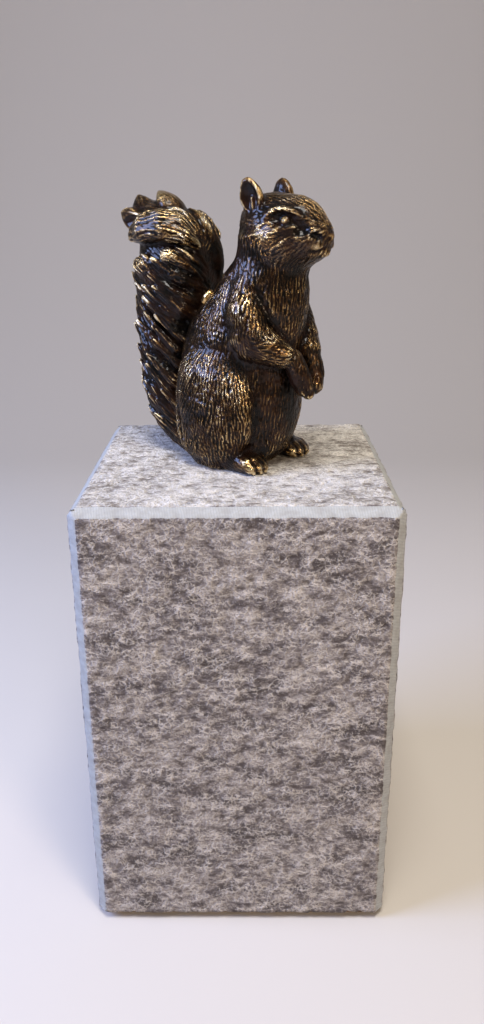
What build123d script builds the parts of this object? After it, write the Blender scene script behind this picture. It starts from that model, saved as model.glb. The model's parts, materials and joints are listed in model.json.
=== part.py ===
from build123d import *
from math import cos, pi, radians, sin
import os

# A cast bronze squirrel that sits upright on a block of dressed stone.
#
# The animal is two hollow castings, a body and a tail, pinned and brazed together. A plate closes
# the mouth that the casting core left in the seat, and carries a stud. The stud is set in resin in
# the stone, with a small dowel beside it so that the figure can't turn. The stone stands on felt.
#
# Millimetres, Z up, origin in the middle of the felt's underside. The squirrel is drawn in a frame
# of its own, nose towards +X, left side towards +Y and feet on Z = 0, then turned and set down.

# Stone block and felt
plinth_side = 100.0
plinth_height = 150.0
plinth_chamfer = 3.4
felt_thickness = 3.0
felt_inset = 3.4
felt_corner_radius = 4.0

# Where the squirrel's frame sits on the stone, and how far it is turned, in degrees
figure_x = -3.8
figure_y = 6.6
figure_turn_angle = -36.7

# Trunk: a stack of ovals from the seat up into the skull
trunk_height = 72.0
trunk_length = 43.6
trunk_width = 33.0
seat_x = 3.0
# height, middle forward of the seat, length and width
trunk_shares = [
    (0.000, 0.000, 0.665, 0.727),
    (0.042, 0.014, 0.803, 0.861),
    (0.125, 0.032, 0.927, 0.958),
    (0.264, 0.046, 1.000, 1.000),
    (0.417, 0.055, 1.000, 0.994),
    (0.542, 0.089, 0.972, 0.945),
    (0.653, 0.151, 0.908, 0.873),
    (0.743, 0.232, 0.790, 0.800),
    (0.833, 0.298, 0.650, 0.715),
    (0.917, 0.349, 0.532, 0.655),
    (1.000, 0.362, 0.468, 0.606),
]

# Head: a stack of ovals from the nape to the nose
head_length = 31.4
head_height = 21.0
head_width = 21.4
nape_setback = 10.2
nape_rise = 3.0
# place along the head, middle above the nape, height and width
head_shares = [
    (0.040, 0.000, 0.50, 0.46),
    (0.150, 0.000, 0.82, 0.78),
    (0.320, 0.008, 0.99, 0.97),
    (0.480, 0.010, 1.06, 1.00),
    (0.660, -0.010, 1.07, 0.89),
    (0.810, -0.045, 0.86, 0.66),
    (0.915, -0.105, 0.60, 0.46),
    (0.975, -0.135, 0.38, 0.30),
]
nose_length = 3.4
nose_width = 4.6
nose_height = 3.2
nose_rise = 1.2

# Ears: cups on the top of the skull, open outwards. Each place on the head is forward of the nape,
# to the left and above it, as shares of the head's length, width and height.
ear_width = 9.6
ear_height = 12.6
ear_thickness = 4.0
ear_wall = 1.2
ear_shares = (0.280, 0.374, 0.395)
ear_lean_angle = 12.0
ear_toe_angle = 14.0

# Eyes, each a ball in an almond socket
eye_radius = 2.3
eye_shares = (0.645, 0.327, 0.114)
socket_length = 8.0
socket_height = 5.0
socket_depth = 1.6

# Haunches: a stack of ovals beside the belly
haunch_height = 42.0
haunch_length = 30.5
haunch_width = 15.0
haunch_x = 4.9
haunch_y = 12.8
# height, forward of haunch_x as a share of the length, out as a share of haunch_y, length, width
haunch_shares = [
    (0.000, 0.02, 0.94, 0.56, 0.56),
    (0.130, 0.00, 1.00, 0.80, 0.88),
    (0.360, 0.02, 1.02, 0.98, 1.00),
    (0.600, 0.01, 0.97, 0.98, 0.98),
    (0.820, -0.02, 0.88, 0.76, 0.84),
]

# Hind feet
foot_length = 22.0
foot_width = 9.4
foot_height = 7.4
foot_tip_x = 23.8
foot_y = 12.0
foot_splay_angle = 4.0
# distance behind the tip, width and height
foot_shares = [
    (0.94, 0.70, 0.90),
    (0.60, 0.96, 1.00),
    (0.34, 1.00, 0.86),
    (0.16, 0.84, 0.62),
]
toe_count = 4
toe_length = 8.0
toe_width = 3.0
toe_height = 4.4
toe_fan_angle = 30.0
toe_bow_share = 0.10

# Forelegs, on the left side: places forward of the seat's middle, to the left and up, as shares of
# the trunk's length, width and height
shoulder_shares = (0.362, 0.318, 0.688)
elbow_shares = (0.367, 0.430, 0.528)
wrist_shares = (0.596, 0.136, 0.528)
paw_tip_shares = (0.713, 0.048, 0.331)
shoulder_thickness = 14.0
upper_arm_thickness = 12.4
elbow_thickness = 9.6
forearm_thickness = 8.2
wrist_thickness = 6.6
paw_width = 5.9
paw_thickness = 6.2
paw_end_share = 0.78

# Tail: a stack of ovals from the stone to the curled top
tail_height = 84.0
tail_length = 28.6
tail_width = 26.0
tail_setback = 4.2
# height, middle forward of tail_x as a share of the length, length and width
tail_shares = [
    (0.000, 0.30, 0.46, 0.50),
    (0.045, 0.25, 0.56, 0.60),
    (0.120, 0.10, 0.71, 0.72),
    (0.260, 0.01, 0.79, 0.82),
    (0.430, -0.01, 0.84, 0.88),
    (0.590, 0.07, 1.00, 0.96),
    (0.730, 0.06, 1.04, 1.00),
    (0.860, 0.00, 0.97, 0.98),
    (0.940, -0.06, 0.78, 0.82),
    (0.980, -0.12, 0.48, 0.52),
]

# Locks of fur round the tail: pointed blades that sweep from the front towards the back and rise
lock_rows = 8
lock_first_share = 0.03
lock_last_share = 0.76
lock_rise = 13.0
lock_sweep_angle = 62.0
lock_width = 8.4
lock_depth = 4.4
lock_root_depth = 1.5
lock_tip_proud = 1.2
# how far back from the tip towards the root, and the share of the full section there
lock_section_shares = [(0.70, 0.70), (0.32, 1.00)]
# direction of each blade's tip round the tail, in degrees from +X
lock_direction_angles = (110.0, 143.0, 176.0)
lock_stagger_angle = 16.0

# Points that stand up at the top of the tail
crest_root_share = 0.80
crest_middle_share = 0.62
crest_width = 11.0
crest_depth = 8.0
# each tip: forward of tail_x, to the left and up, as shares of the tail's length, width and height
crest_tip_shares = [
    (-0.78, 0.02, 0.940),
    (-0.53, -0.10, 1.004),
    (-0.24, 0.08, 1.028),
    (0.06, -0.16, 0.992),
    (0.04, 0.28, 0.960),
    (0.32, 0.16, 0.930),
]

# Ridges of the tail that hug the trunk's back, on the left, from a low to a high place there
hug_low_share = 0.52
hug_high_share = 0.70
hug_direction_angle = 153.0
hug_low_thickness = 9.0
hug_high_thickness = 7.4

# Hollow castings
wall = 3.0
floor_thickness = 5.0
trunk_core_top_share = 0.76
tail_core_first_share = 0.08
tail_core_last_share = 0.74
core_rings = 6
mouth_diameter = 14.0
plate_diameter = 20.0
plate_thickness = 3.0
plate_clearance = 0.1

# Joint between body and tail. The heights of the pins and of the core's mouth, and the height and
# direction of the bead of braze, are taken on the trunk's back.
tail_pin_diameter = 3.0
tail_pin_length = 13.0
tail_pin_shares = (0.170, 0.470)
tail_mouth_diameter = 8.0
tail_mouth_share = 0.320
braze_radius = 1.9
braze_length = 6.0
braze_height_share = 0.745
braze_direction_angle = 206.0
braze_lean_angle = 40.0

# Fixing to the stone
stud_diameter = 6.0
stud_depth = 30.0
stud_proud = 1.5
stud_bevel = 0.8
nut_width = 10.0
nut_thickness = 5.0
resin_wall = 2.0
resin_floor = 3.0
dowel_diameter = 3.0
dowel_depth = 11.0
dowel_engagement = 4.0
dowel_setback = 10.0
dowel_resin_wall = 1.0
dowel_resin_floor = 2.0

# Facets round the large forms, the limbs and the small forms
large_facets = 28
limb_facets = 14
small_facets = 12

# One overrun for every cut that has to pass a face
overrun = 2.0

# Places that follow from the sizes above: the trunk's rearmost point, the tail's middle and the nape
trunk_back_x = seat_x + trunk_length * min(forward - long / 2 for _, forward, long, _ in trunk_shares)
tail_x = trunk_back_x - tail_setback
nape_x = seat_x + trunk_length * trunk_shares[-1][1] - nape_setback
nape_z = trunk_height + nape_rise


def level(x, y, z):
    """A level plane at that point."""
    return Plane(origin=(x, y, z), x_dir=(1, 0, 0), z_dir=(0, 0, 1))


def upright(x, y, z):
    """A plane across the body at that point, with its x to the left and its y up."""
    return Plane(origin=(x, y, z), x_dir=(0, 1, 0), z_dir=(1, 0, 0))


def ring(plane, length, width, count):
    """Points evenly round an oval in that plane, length along its x and width along its y."""
    turns = [2 * pi * index / count for index in range(count)]
    return [plane.from_local_coords((length / 2 * cos(turn), width / 2 * sin(turn), 0)) for turn in turns]


def facet(*corners):
    """One flat facet."""
    return Face(Wire.make_polygon(corners, close=True))


def faceted(rings, start=None, end=None):
    """A solid skinned over rings of points in flat facets, closed by a point or a flat cap at each end."""
    facets = []
    for low, high in zip(rings, rings[1:]):
        for index, corner in enumerate(low):
            after = (index + 1) % len(low)
            facets.append(facet(corner, low[after], high[after]))
            facets.append(facet(corner, high[after], high[index]))
    for edge, point in ((rings[0], start), (rings[-1], end)):
        if point is None:
            facets.append(facet(*edge))
        else:
            neighbours = zip(edge, edge[1:] + edge[:1])
            facets += [facet(corner, after, Vector(*point)) for corner, after in neighbours]
    solid = Solid(Shell(facets))
    return solid if solid.volume > 0 else -solid


def ovoid(length, width, height, count=small_facets):
    """A faceted ball stretched to those three sizes, about the origin."""
    bands = count // 2
    rings = []
    for band in range(1, bands):
        rise = pi * (band / bands - 1 / 2)
        plane = level(0, 0, height / 2 * sin(rise))
        rings.append(ring(plane, length * cos(rise), width * cos(rise), count))
    return faceted(rings, (0, 0, -height / 2), (0, 0, height / 2))


def rod(diameter, bottom, top):
    """An upright rod between two heights."""
    return Location((0, 0, bottom)) * Cylinder(
        diameter / 2, top - bottom, align=(Align.CENTER, Align.CENTER, Align.MIN))


def both_sides(shape):
    """The shape and its mirror image in the body's middle plane."""
    return [shape, mirror(shape, about=Plane.XZ)]


def between(start, end, share):
    """The point that share of the way from start to end."""
    return tuple(a + (b - a) * share for a, b in zip(start, end))


def row_at(rows, share):
    """A row of a table of shares, worked out between its two nearest rows."""
    for low, high in zip(rows, rows[1:]):
        if low[0] <= share <= high[0]:
            return between(low, high, (share - low[0]) / (high[0] - low[0]))
    raise ValueError("that share is outside the table")


def trunk_ring(row, inset, count):
    """One ring of the trunk, drawn in by inset all round."""
    up, forward, long, wide = row
    plane = level(seat_x + trunk_length * forward, 0, trunk_height * up)
    return ring(plane, trunk_length * long - 2 * inset, trunk_width * wide - 2 * inset, count)


def trunk():
    """Belly, chest and neck."""
    return faceted([trunk_ring(row, 0, large_facets) for row in trunk_shares])


def trunk_core():
    """The hollow in the trunk, one wall inside its surface."""
    first = floor_thickness / trunk_height
    step = (trunk_core_top_share - first) / core_rings
    rows = [row_at(trunk_shares, first + step * index) for index in range(core_rings)]
    crown = row_at(trunk_shares, trunk_core_top_share)
    top = (seat_x + trunk_length * crown[1], 0, trunk_height * trunk_core_top_share)
    return faceted([trunk_ring(row, wall, limb_facets) for row in rows], None, top)


def head():
    """Skull, cheeks and muzzle, with the nose pad."""
    sections = []
    for along, up, tall, wide in head_shares:
        plane = upright(nape_x + head_length * along, 0, nape_z + head_height * up)
        sections.append(ring(plane, head_width * wide, head_height * tall, large_facets))
    tip_x = nape_x + head_length
    tip_z = nape_z + head_height * head_shares[-1][1]
    skull = faceted(sections, (nape_x, 0, nape_z), (tip_x, 0, tip_z))
    nose = Location((tip_x - nose_length / 2, 0, tip_z + nose_rise)) * ovoid(
        nose_length, nose_width, nose_height)
    return [skull, nose]


def on_head(shares):
    """The place on the head that those shares of its sizes give."""
    forward, out, up = shares
    return nape_x + head_length * forward, head_width * out, nape_z + head_height * up


def on_trunk(shares):
    """The place on the trunk that those shares of its sizes give."""
    forward, out, up = shares
    return seat_x + trunk_length * forward, trunk_width * out, trunk_height * up


def on_tail(shares):
    """The place on the tail that those shares of its sizes give."""
    forward, out, up = shares
    return tail_x + tail_length * forward, tail_width * out, tail_height * up


def on_trunk_skin(share, direction):
    """The place on the trunk's surface at that share of its height and in that direction round it."""
    up, forward, long, wide = row_at(trunk_shares, share)
    turn = radians(direction)
    return on_trunk((forward + long / 2 * cos(turn), wide / 2 * sin(turn), up))


def ear():
    """The left ear, a cup open to the left."""
    outside = ovoid(ear_width, ear_thickness, ear_height)
    hollow = ovoid(ear_width - 2 * ear_wall, ear_thickness, ear_height - 2 * ear_wall)
    cup = outside - Location((0, ear_thickness / 2, 0)) * hollow
    return Location(on_head(ear_shares), (-ear_lean_angle, 0, -ear_toe_angle)) * cup


def haunch():
    """The left thigh."""
    sections = []
    for up, forward, out, long, wide in haunch_shares:
        plane = level(haunch_x + haunch_length * forward, haunch_y * out, haunch_height * up)
        sections.append(ring(plane, haunch_length * long, haunch_width * wide, large_facets))
    crown = haunch_shares[-1]
    top = (haunch_x + haunch_length * crown[1], haunch_y * crown[2], haunch_height)
    return faceted(sections, None, top)


def foot():
    """The left hind foot with its fan of toes. Its lower half is cut away by the seat plane."""
    sections = []
    for back, wide, tall in foot_shares:
        plane = upright(-foot_length * back, 0, 0)
        sections.append(ring(plane, foot_width * wide, 2 * foot_height * tall, limb_facets))
    sole = faceted(sections, (-foot_length, 0, 0), (-toe_length / 4, 0, 0))
    toes = []
    for index in range(toe_count):
        across = index / (toe_count - 1) - 1 / 2
        reach = toe_length / 2 + abs(across) * 2 * toe_bow_share * toe_length
        place = (-reach, across * (foot_width - toe_width), toe_height / 4)
        toes.append(Location(place, (0, 0, across * toe_fan_angle)) * ovoid(toe_length, toe_width, toe_height))
    return [Location((foot_tip_x, foot_y, 0), (0, 0, foot_splay_angle)) * piece for piece in (sole, *toes)]


def limb(stations):
    """A tapering limb through (point, thickness) stations, with rounded ends."""
    points = [Vector(*point) for point, _ in stations]
    sections = []
    for index, (_, thickness) in enumerate(stations):
        before = points[max(index - 1, 0)]
        after = points[min(index + 1, len(points) - 1)]
        plane = Plane(origin=points[index], x_dir=(0, 1, 0), z_dir=(after - before).normalized())
        sections.append(ring(plane, thickness, thickness, limb_facets))
    start = points[0] - (points[1] - points[0]).normalized() * (stations[0][1] / 2)
    end = points[-1] + (points[-1] - points[-2]).normalized() * (stations[-1][1] / 2)
    return faceted(sections, start, end)


def foreleg():
    """The left upper arm, forearm and folded paw."""
    places = (shoulder_shares, elbow_shares, wrist_shares, paw_tip_shares)
    shoulder, elbow, wrist, paw_tip = [on_trunk(shares) for shares in places]
    upper = limb([
        (shoulder, shoulder_thickness),
        (between(shoulder, elbow, 1 / 2), upper_arm_thickness),
        (elbow, elbow_thickness),
    ])
    fore = limb([
        (elbow, elbow_thickness),
        (between(elbow, wrist, 1 / 2), forearm_thickness),
        (wrist, wrist_thickness),
    ])
    paw = limb([
        (wrist, wrist_thickness),
        (between(wrist, paw_tip, 1 / 2), paw_width),
        (between(wrist, paw_tip, paw_end_share), paw_thickness),
    ])
    return [upper, fore, paw]


def body_form():
    """The outside of the body casting, solid and flat underneath."""
    pieces = []
    for piece in [haunch(), *foot(), *foreleg(), ear()]:
        pieces += both_sides(piece)
    form = trunk().fuse(*head(), *pieces)
    socket = Location((0, socket_depth, 0)) * ovoid(socket_length, 2 * socket_depth, socket_height)
    socket = Location(on_head(eye_shares)) * socket
    under_height = foot_height + overrun
    under = Location((0, 0, -under_height / 2)) * Box(plinth_side, plinth_side, under_height)
    form = form.cut(under, *both_sides(socket))
    eye = Location(on_head(eye_shares)) * ovoid(2 * eye_radius, 2 * eye_radius, 2 * eye_radius)
    return form.fuse(*both_sides(eye))


def trunk_back(height):
    """How far forward the trunk's back is at that height, on the middle plane."""
    _, forward, long, _ = row_at(trunk_shares, height / trunk_height)
    return seat_x + trunk_length * (forward - long / 2)


def tail_ring(row):
    """One ring of the tail's outside."""
    up, forward, long, wide = row
    plane = level(tail_x + tail_length * forward, 0, tail_height * up)
    return ring(plane, tail_length * long, tail_width * wide, large_facets)


def tail_core_ring(row):
    """One ring of the tail's hollow: a wall inside its surface, and a wall behind the trunk's back."""
    up, forward, long, wide = row
    back = tail_x + tail_length * (forward - long / 2) + wall
    front = min(tail_x + tail_length * (forward + long / 2), trunk_back(tail_height * up)) - wall
    plane = level((back + front) / 2, 0, tail_height * up)
    return ring(plane, front - back, tail_width * wide - 2 * wall, small_facets)


def tail_point(turn, height, proud):
    """A point on the tail's surface, in that direction round it and at that height."""
    _, forward, long, wide = row_at(tail_shares, height / tail_height)
    reach = Vector(
        (tail_length * long / 2 + proud) * cos(radians(turn)),
        (tail_width * wide / 2 + proud) * sin(radians(turn)),
        0)
    return Vector(tail_x + tail_length * forward, 0, height) + reach


def blade(root, places, tip, width, depth):
    """A pointed lock of fur: long facets from a root, over its ridge, to a tip.

    Each place is a point of the ridge's foot, the way out from there, and the share of the full section.
    """
    along = (tip - root).normalized()
    rings = []
    for point, outward, share in places:
        across = along.cross(outward).normalized() * (width / 2 * share)
        ridge = outward.normalized() * (depth / 2 * share)
        rings.append([point + across, point + ridge, point - across, point - ridge])
    return faceted(rings, root, tip)


def side_lock(turn, tip_height, side):
    """One lock on one side of the tail, its tip in that direction and at that height."""
    places = []
    for back, share in lock_section_shares:
        angle = side * (turn - lock_sweep_angle * back)
        height = tip_height - lock_rise * back
        surface = tail_point(angle, height, 0)
        outward = surface - tail_point(angle, height, -lock_width)
        places.append((surface, outward, share))
    root = tail_point(side * (turn - lock_sweep_angle), tip_height - lock_rise, -lock_root_depth)
    return blade(root, places, tail_point(side * turn, tip_height, lock_tip_proud), lock_width, lock_depth)


def side_locks():
    """The locks that sweep round both sides of the tail, staggered from row to row."""
    locks = []
    step = (lock_last_share - lock_first_share) / (lock_rows - 1)
    for row in range(lock_rows):
        tip_height = tail_height * (lock_first_share + step * row) + lock_rise
        shift = lock_stagger_angle * (row % 2)
        for turn in lock_direction_angles:
            locks += [side_lock(turn - shift, tip_height, side) for side in (1, -1)]
    return locks


def crest_locks():
    """The points that stand up at the top of the tail."""
    locks = []
    root = Vector(*on_tail((row_at(tail_shares, crest_root_share)[1], 0, crest_root_share)))
    for shares in crest_tip_shares:
        tip = Vector(*on_tail(shares))
        widest = root + (tip - root) * crest_middle_share
        locks.append(blade(root, [(widest, Vector(0, 0, 1), 1)], tip, crest_width, crest_depth))
    return locks


def hug():
    """The left ridge of the tail that lies along the trunk's back."""
    return limb([
        (on_trunk_skin(hug_low_share, hug_direction_angle), hug_low_thickness),
        (on_trunk_skin(hug_high_share, hug_direction_angle), hug_high_thickness),
    ])


def tail_form():
    """The outside of the tail casting, solid, before it is fitted to the body."""
    rings = [tail_ring(row) for row in tail_shares]
    top = on_tail((tail_shares[-1][1], 0, 1))
    return faceted(rings, None, top).fuse(*both_sides(hug()), *side_locks(), *crest_locks())


def tail_core():
    """The hollow in the tail, set back from the joint with the body."""
    step = (tail_core_last_share - tail_core_first_share) / core_rings
    rows = [row_at(tail_shares, tail_core_first_share + step * index) for index in range(core_rings)]
    rings = [tail_core_ring(row) for row in rows]
    crown = sum(rings[-1], Vector()) / small_facets
    return faceted(rings, None, (crown.X, 0, tail_height * tail_core_last_share))


def through_joint(diameter, length, share):
    """A level rod through the joint, half in the body and half in the tail, that share of the way up."""
    height = trunk_height * share
    return Location((trunk_back(height), 0, height), (0, 90, 0)) * Cylinder(diameter / 2, length)


def tail_pins():
    """The two pins that locate the tail, through the touching walls of both castings."""
    return [through_joint(tail_pin_diameter, tail_pin_length, share) for share in tail_pin_shares]


def dowel(diameter, bottom, top):
    """An upright rod at the dowel's place under the right foot."""
    return Location((foot_tip_x - dowel_setback, -foot_y, 0)) * rod(diameter, bottom, top)


def stud_rod(diameter, bottom, top):
    """An upright rod on the stud's axis, through the middle of the seat."""
    return Location((seat_x, 0, 0)) * rod(diameter, bottom, top)


def body_casting(form, pins):
    """The body, hollow, with its mouth, the seat for the plate and the holes for pins and dowel."""
    mouth = stud_rod(mouth_diameter, 0, floor_thickness + overrun)
    seat = stud_rod(plate_diameter + 2 * plate_clearance, -overrun, plate_thickness)
    hole = dowel(dowel_diameter, -overrun, dowel_engagement)
    return form.cut(trunk_core(), mouth, seat, hole, *pins)


def tail_casting(form, body, pins):
    """The tail, fitted to the body's back, with its hollow open towards the joint."""
    mouth = through_joint(tail_mouth_diameter, tail_pin_length, tail_mouth_share)
    return form.cut(body).cut(tail_core(), mouth, *pins)


def braze_bead(body, tail):
    """The bead of braze left where the tail touches the back."""
    place = on_trunk_skin(braze_height_share, braze_direction_angle)
    bead = ovoid(braze_length, 2 * braze_radius, 2 * braze_radius)
    return (Location(place, (0, -braze_lean_angle, 0)) * bead).cut(body, tail)


def core_plate():
    """The disc let into the seat, bored for the stud."""
    plate = stud_rod(plate_diameter, 0, plate_thickness)
    return plate.cut(stud_rod(stud_diameter, -overrun, plate_thickness + overrun))


def stud_nut():
    """The hexagon nut on top of the plate, inside the body."""
    top = plate_thickness + nut_thickness
    corner = nut_width / (2 * cos(pi / 6))
    blank = Location((seat_x, 0, plate_thickness)) * extrude(RegularPolygon(corner, 6), nut_thickness)
    return blank.cut(stud_rod(stud_diameter, plate_thickness - overrun, top + overrun))


def mounting_stud():
    """The stud, from the bottom of its resin up through the plate and the nut."""
    top = plate_thickness + nut_thickness + stud_proud
    stud = stud_rod(stud_diameter, -stud_depth, top)
    return chamfer(stud.edges().filter_by(GeomType.CIRCLE), stud_bevel)


def plinth_block(holes):
    """The dressed stone, bevelled along its upright and top edges."""
    block = Location((0, 0, felt_thickness)) * Box(
        plinth_side, plinth_side, plinth_height, align=(Align.CENTER, Align.CENTER, Align.MIN))
    bevelled = block.edges().filter_by(Axis.Z) + block.faces().sort_by(Axis.Z)[-1].edges()
    return chamfer(bevelled, plinth_chamfer).cut(*holes)


def felt_pad():
    """The felt under the stone."""
    side = plinth_side - 2 * felt_inset
    return extrude(RectangleRounded(side, side, felt_corner_radius), felt_thickness)


def on_stone(shape):
    """A shape of the squirrel's frame, turned and set on the stone."""
    place = Location((figure_x, figure_y, felt_thickness + plinth_height), (0, 0, figure_turn_angle))
    return place * shape


def main():
    """Make every piece and write it to its own file."""
    body = body_form()
    tail = tail_form()
    pins = tail_pins()
    tail_fitted = tail_casting(tail, body, pins)
    stud = mounting_stud()
    dowel_pin = dowel(dowel_diameter, -dowel_depth, dowel_engagement)
    stud_hole = stud_rod(stud_diameter + 2 * resin_wall, -stud_depth - resin_floor, 0)
    dowel_hole = dowel(dowel_diameter + 2 * dowel_resin_wall, -dowel_depth - dowel_resin_floor, 0)
    figure = {
        "body_casting": body_casting(body, pins),
        "tail_casting": tail_fitted,
        "tail_pins": Compound(children=pins),
        "tail_braze_bead": braze_bead(body, tail),
        "core_plate": core_plate(),
        "stud_nut": stud_nut(),
        "mounting_stud": stud,
        "turn_dowel": dowel_pin,
        "stud_resin": stud_hole.cut(stud),
        "dowel_resin": dowel_hole.cut(dowel_pin),
    }
    nodes = {name: on_stone(shape) for name, shape in figure.items()}
    nodes["plinth_block"] = plinth_block([on_stone(stud_hole), on_stone(dowel_hole)])
    nodes["felt_pad"] = felt_pad()
    os.makedirs("parts", exist_ok=True)
    for name, shape in nodes.items():
        export_step(shape, f"parts/{name}.step")
        print(name, len(shape.solids()), "solids", round(shape.volume), "cubic millimetres")


main()
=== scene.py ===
# %% [markdown]
# # A cast bronze squirrel on a block of stone
#
# The object is a small bronze sculpture: a squirrel sitting upright with its paws folded, on a
# square block of dressed stone with a felt pad underneath. The body and the tail are two lost-wax
# castings. A sculptor modelled them in clay, drew the fur into it with a tool, and after casting the
# metal was darkened with a patina and rubbed back to bright bronze on the ridges.
#
# This lesson works in the same order as the sculptor: rough forms of clay, then the face and the
# paws, then strokes of fur, then the patina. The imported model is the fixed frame. Its boxes and
# bodies say where everything goes, and nothing in it is moved.

# %% Load the frame
import json
from math import cos, pi, radians, sin

import bpy
import numpy as np
from mathutils import Euler, Matrix, Vector, kdtree

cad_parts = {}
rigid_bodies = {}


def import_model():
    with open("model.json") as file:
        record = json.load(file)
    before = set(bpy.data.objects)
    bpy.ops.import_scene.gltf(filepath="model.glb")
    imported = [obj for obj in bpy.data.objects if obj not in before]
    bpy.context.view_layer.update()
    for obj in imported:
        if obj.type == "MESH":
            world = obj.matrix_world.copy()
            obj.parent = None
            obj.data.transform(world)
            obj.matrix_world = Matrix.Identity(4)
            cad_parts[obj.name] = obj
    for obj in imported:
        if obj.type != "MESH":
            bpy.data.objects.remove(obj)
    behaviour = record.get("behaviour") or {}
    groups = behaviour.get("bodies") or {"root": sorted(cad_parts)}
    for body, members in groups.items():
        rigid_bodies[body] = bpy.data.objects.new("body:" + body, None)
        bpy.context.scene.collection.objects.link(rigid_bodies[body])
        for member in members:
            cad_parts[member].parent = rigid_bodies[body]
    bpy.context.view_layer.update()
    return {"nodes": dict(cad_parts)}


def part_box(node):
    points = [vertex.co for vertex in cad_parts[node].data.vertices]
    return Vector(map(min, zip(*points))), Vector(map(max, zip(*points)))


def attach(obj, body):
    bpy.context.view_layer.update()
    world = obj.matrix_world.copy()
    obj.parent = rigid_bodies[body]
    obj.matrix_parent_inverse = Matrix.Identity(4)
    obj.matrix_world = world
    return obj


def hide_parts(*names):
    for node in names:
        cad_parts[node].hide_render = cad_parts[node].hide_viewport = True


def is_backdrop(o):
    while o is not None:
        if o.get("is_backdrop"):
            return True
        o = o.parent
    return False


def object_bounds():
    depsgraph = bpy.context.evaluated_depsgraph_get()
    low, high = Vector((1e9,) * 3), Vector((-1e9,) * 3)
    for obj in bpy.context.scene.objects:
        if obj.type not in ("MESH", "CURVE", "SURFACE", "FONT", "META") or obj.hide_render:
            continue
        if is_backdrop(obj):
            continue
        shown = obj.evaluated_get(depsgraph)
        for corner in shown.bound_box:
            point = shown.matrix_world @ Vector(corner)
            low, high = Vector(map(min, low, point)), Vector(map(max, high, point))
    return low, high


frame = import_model()
MM = 0.001
print("nodes:", ", ".join(sorted(frame["nodes"])))

# %% [markdown]
# ## Camera
#
# The photo was taken upright, from a little above the squirrel and tilted down by about twenty
# degrees, so the upright edges of the block run together towards its foot. The place, the tilt and
# the focal length were worked out from the corners of the block's top and front, which is a square
# and a rectangle of known size. Blender measures the sensor along the picture's long side.

# %% Set up the camera
PHOTO_HEIGHT = 1024
FOCAL_PIXELS = 846.8
SENSOR_MM = 36.0
CAMERA_PLACE_MM = (3.86, -278.0, 236.8)
CAMERA_YAW, CAMERA_PITCH, CAMERA_ROLL = 0.0102, 0.3559, -0.0076

camera = bpy.data.objects.new("camera", bpy.data.cameras.new("camera"))
bpy.context.scene.collection.objects.link(camera)
bpy.context.scene.camera = camera
camera.data.sensor_width = SENSOR_MM
camera.data.lens = FOCAL_PIXELS / PHOTO_HEIGHT * SENSOR_MM
camera.data.clip_start = 0.01
aim = Matrix.Rotation(CAMERA_YAW, 4, "Z") @ Matrix.Rotation(pi / 2 - CAMERA_PITCH, 4, "X")
aim = aim @ Matrix.Rotation(CAMERA_ROLL, 4, "Z")
camera.matrix_world = Matrix.Translation(Vector(CAMERA_PLACE_MM) * MM) @ aim
bpy.context.scene.view_settings.view_transform = "Standard"
print("lens:", round(camera.data.lens, 2), "mm")

# %% [markdown]
# ## Two helpers for materials and node trees
#
# Colours are written as sRGB hex values, as a colour picker shows them, and one function turns them
# into the linear values that Blender calculates with. A second function adds a node, sets its
# properties and fills its inputs, in their order or by name, with a value or with a link from another
# node. Both kinds of tree, materials and Geometry Nodes, are built with it. The kinds of node that
# come up often have short names.


# %% Colour and node helpers
def linear(colour):
    """An sRGB hex colour as linear red, green, blue and alpha."""
    shares = [int(colour[place:place + 2], 16) / 255 for place in (1, 3, 5)]
    curve = [share / 12.92 if share <= 0.04045 else ((share + 0.055) / 1.055) ** 2.4 for share in shares]
    return (*curve, 1.0)


MATHS, VECTORS, RANGE = "ShaderNodeMath", "ShaderNodeVectorMath", "ShaderNodeMapRange"
NOISE, RAMP, MIX = "ShaderNodeTexNoise", "ShaderNodeValToRGB", "ShaderNodeMix"
COMBINE, SPLIT, MAPPING = "ShaderNodeCombineXYZ", "ShaderNodeSeparateXYZ", "ShaderNodeMapping"
COORDINATES, ATTRIBUTE = "ShaderNodeTexCoord", "ShaderNodeAttribute"
SURFACE, BUMP = "ShaderNodeBsdfPrincipled", "ShaderNodeBump"
NAMED, STORE = "GeometryNodeInputNamedAttribute", "GeometryNodeStoreNamedAttribute"
BLUR, MOVE, PROXIMITY = "GeometryNodeBlurAttribute", "GeometryNodeSetPosition", "GeometryNodeProximity"
SCATTER, INSTANCES = "GeometryNodeDistributePointsOnFaces", "GeometryNodeInstanceOnPoints"
REALIZE, RANDOM = "GeometryNodeRealizeInstances", "FunctionNodeRandomValue"
ALIGN = "FunctionNodeAlignRotationToVector"


def add(tree, kind, inputs=(), stops=(), **settings):
    """Add a node with its settings, and fill the inputs it uses, in order or by name.

    Another node stands for the first of its outputs in use, and a hex colour for its linear value.
    The stops are the places and colours of a colour ramp.
    """
    node = tree.nodes.new(kind)
    for name, value in settings.items():
        setattr(node, name, value)
    sockets = [socket for socket in node.inputs if socket.enabled]
    names = [socket.name for socket in sockets]
    for key, value in inputs.items() if isinstance(inputs, dict) else enumerate(inputs):
        socket = sockets[names.index(key) if isinstance(key, str) else key]
        if isinstance(value, bpy.types.Node):
            value = next(output for output in value.outputs if output.enabled)
        if isinstance(value, bpy.types.NodeSocket):
            tree.links.new(value, socket)
        elif str(value).startswith("#"):
            socket.default_value = linear(value)
        else:
            socket.default_value = value
    for number, (place, colour) in enumerate(stops):
        marks = node.color_ramp.elements
        mark = marks[number] if number < len(marks) else marks.new(place)
        mark.position = place
        mark.color = linear(colour)
    return node


def blank_material(name):
    """A new material with an empty tree and its name for the viewer."""
    material = bpy.data.materials.new(name)
    material.use_nodes = True
    material.node_tree.nodes.clear()
    return material, material.node_tree


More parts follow.
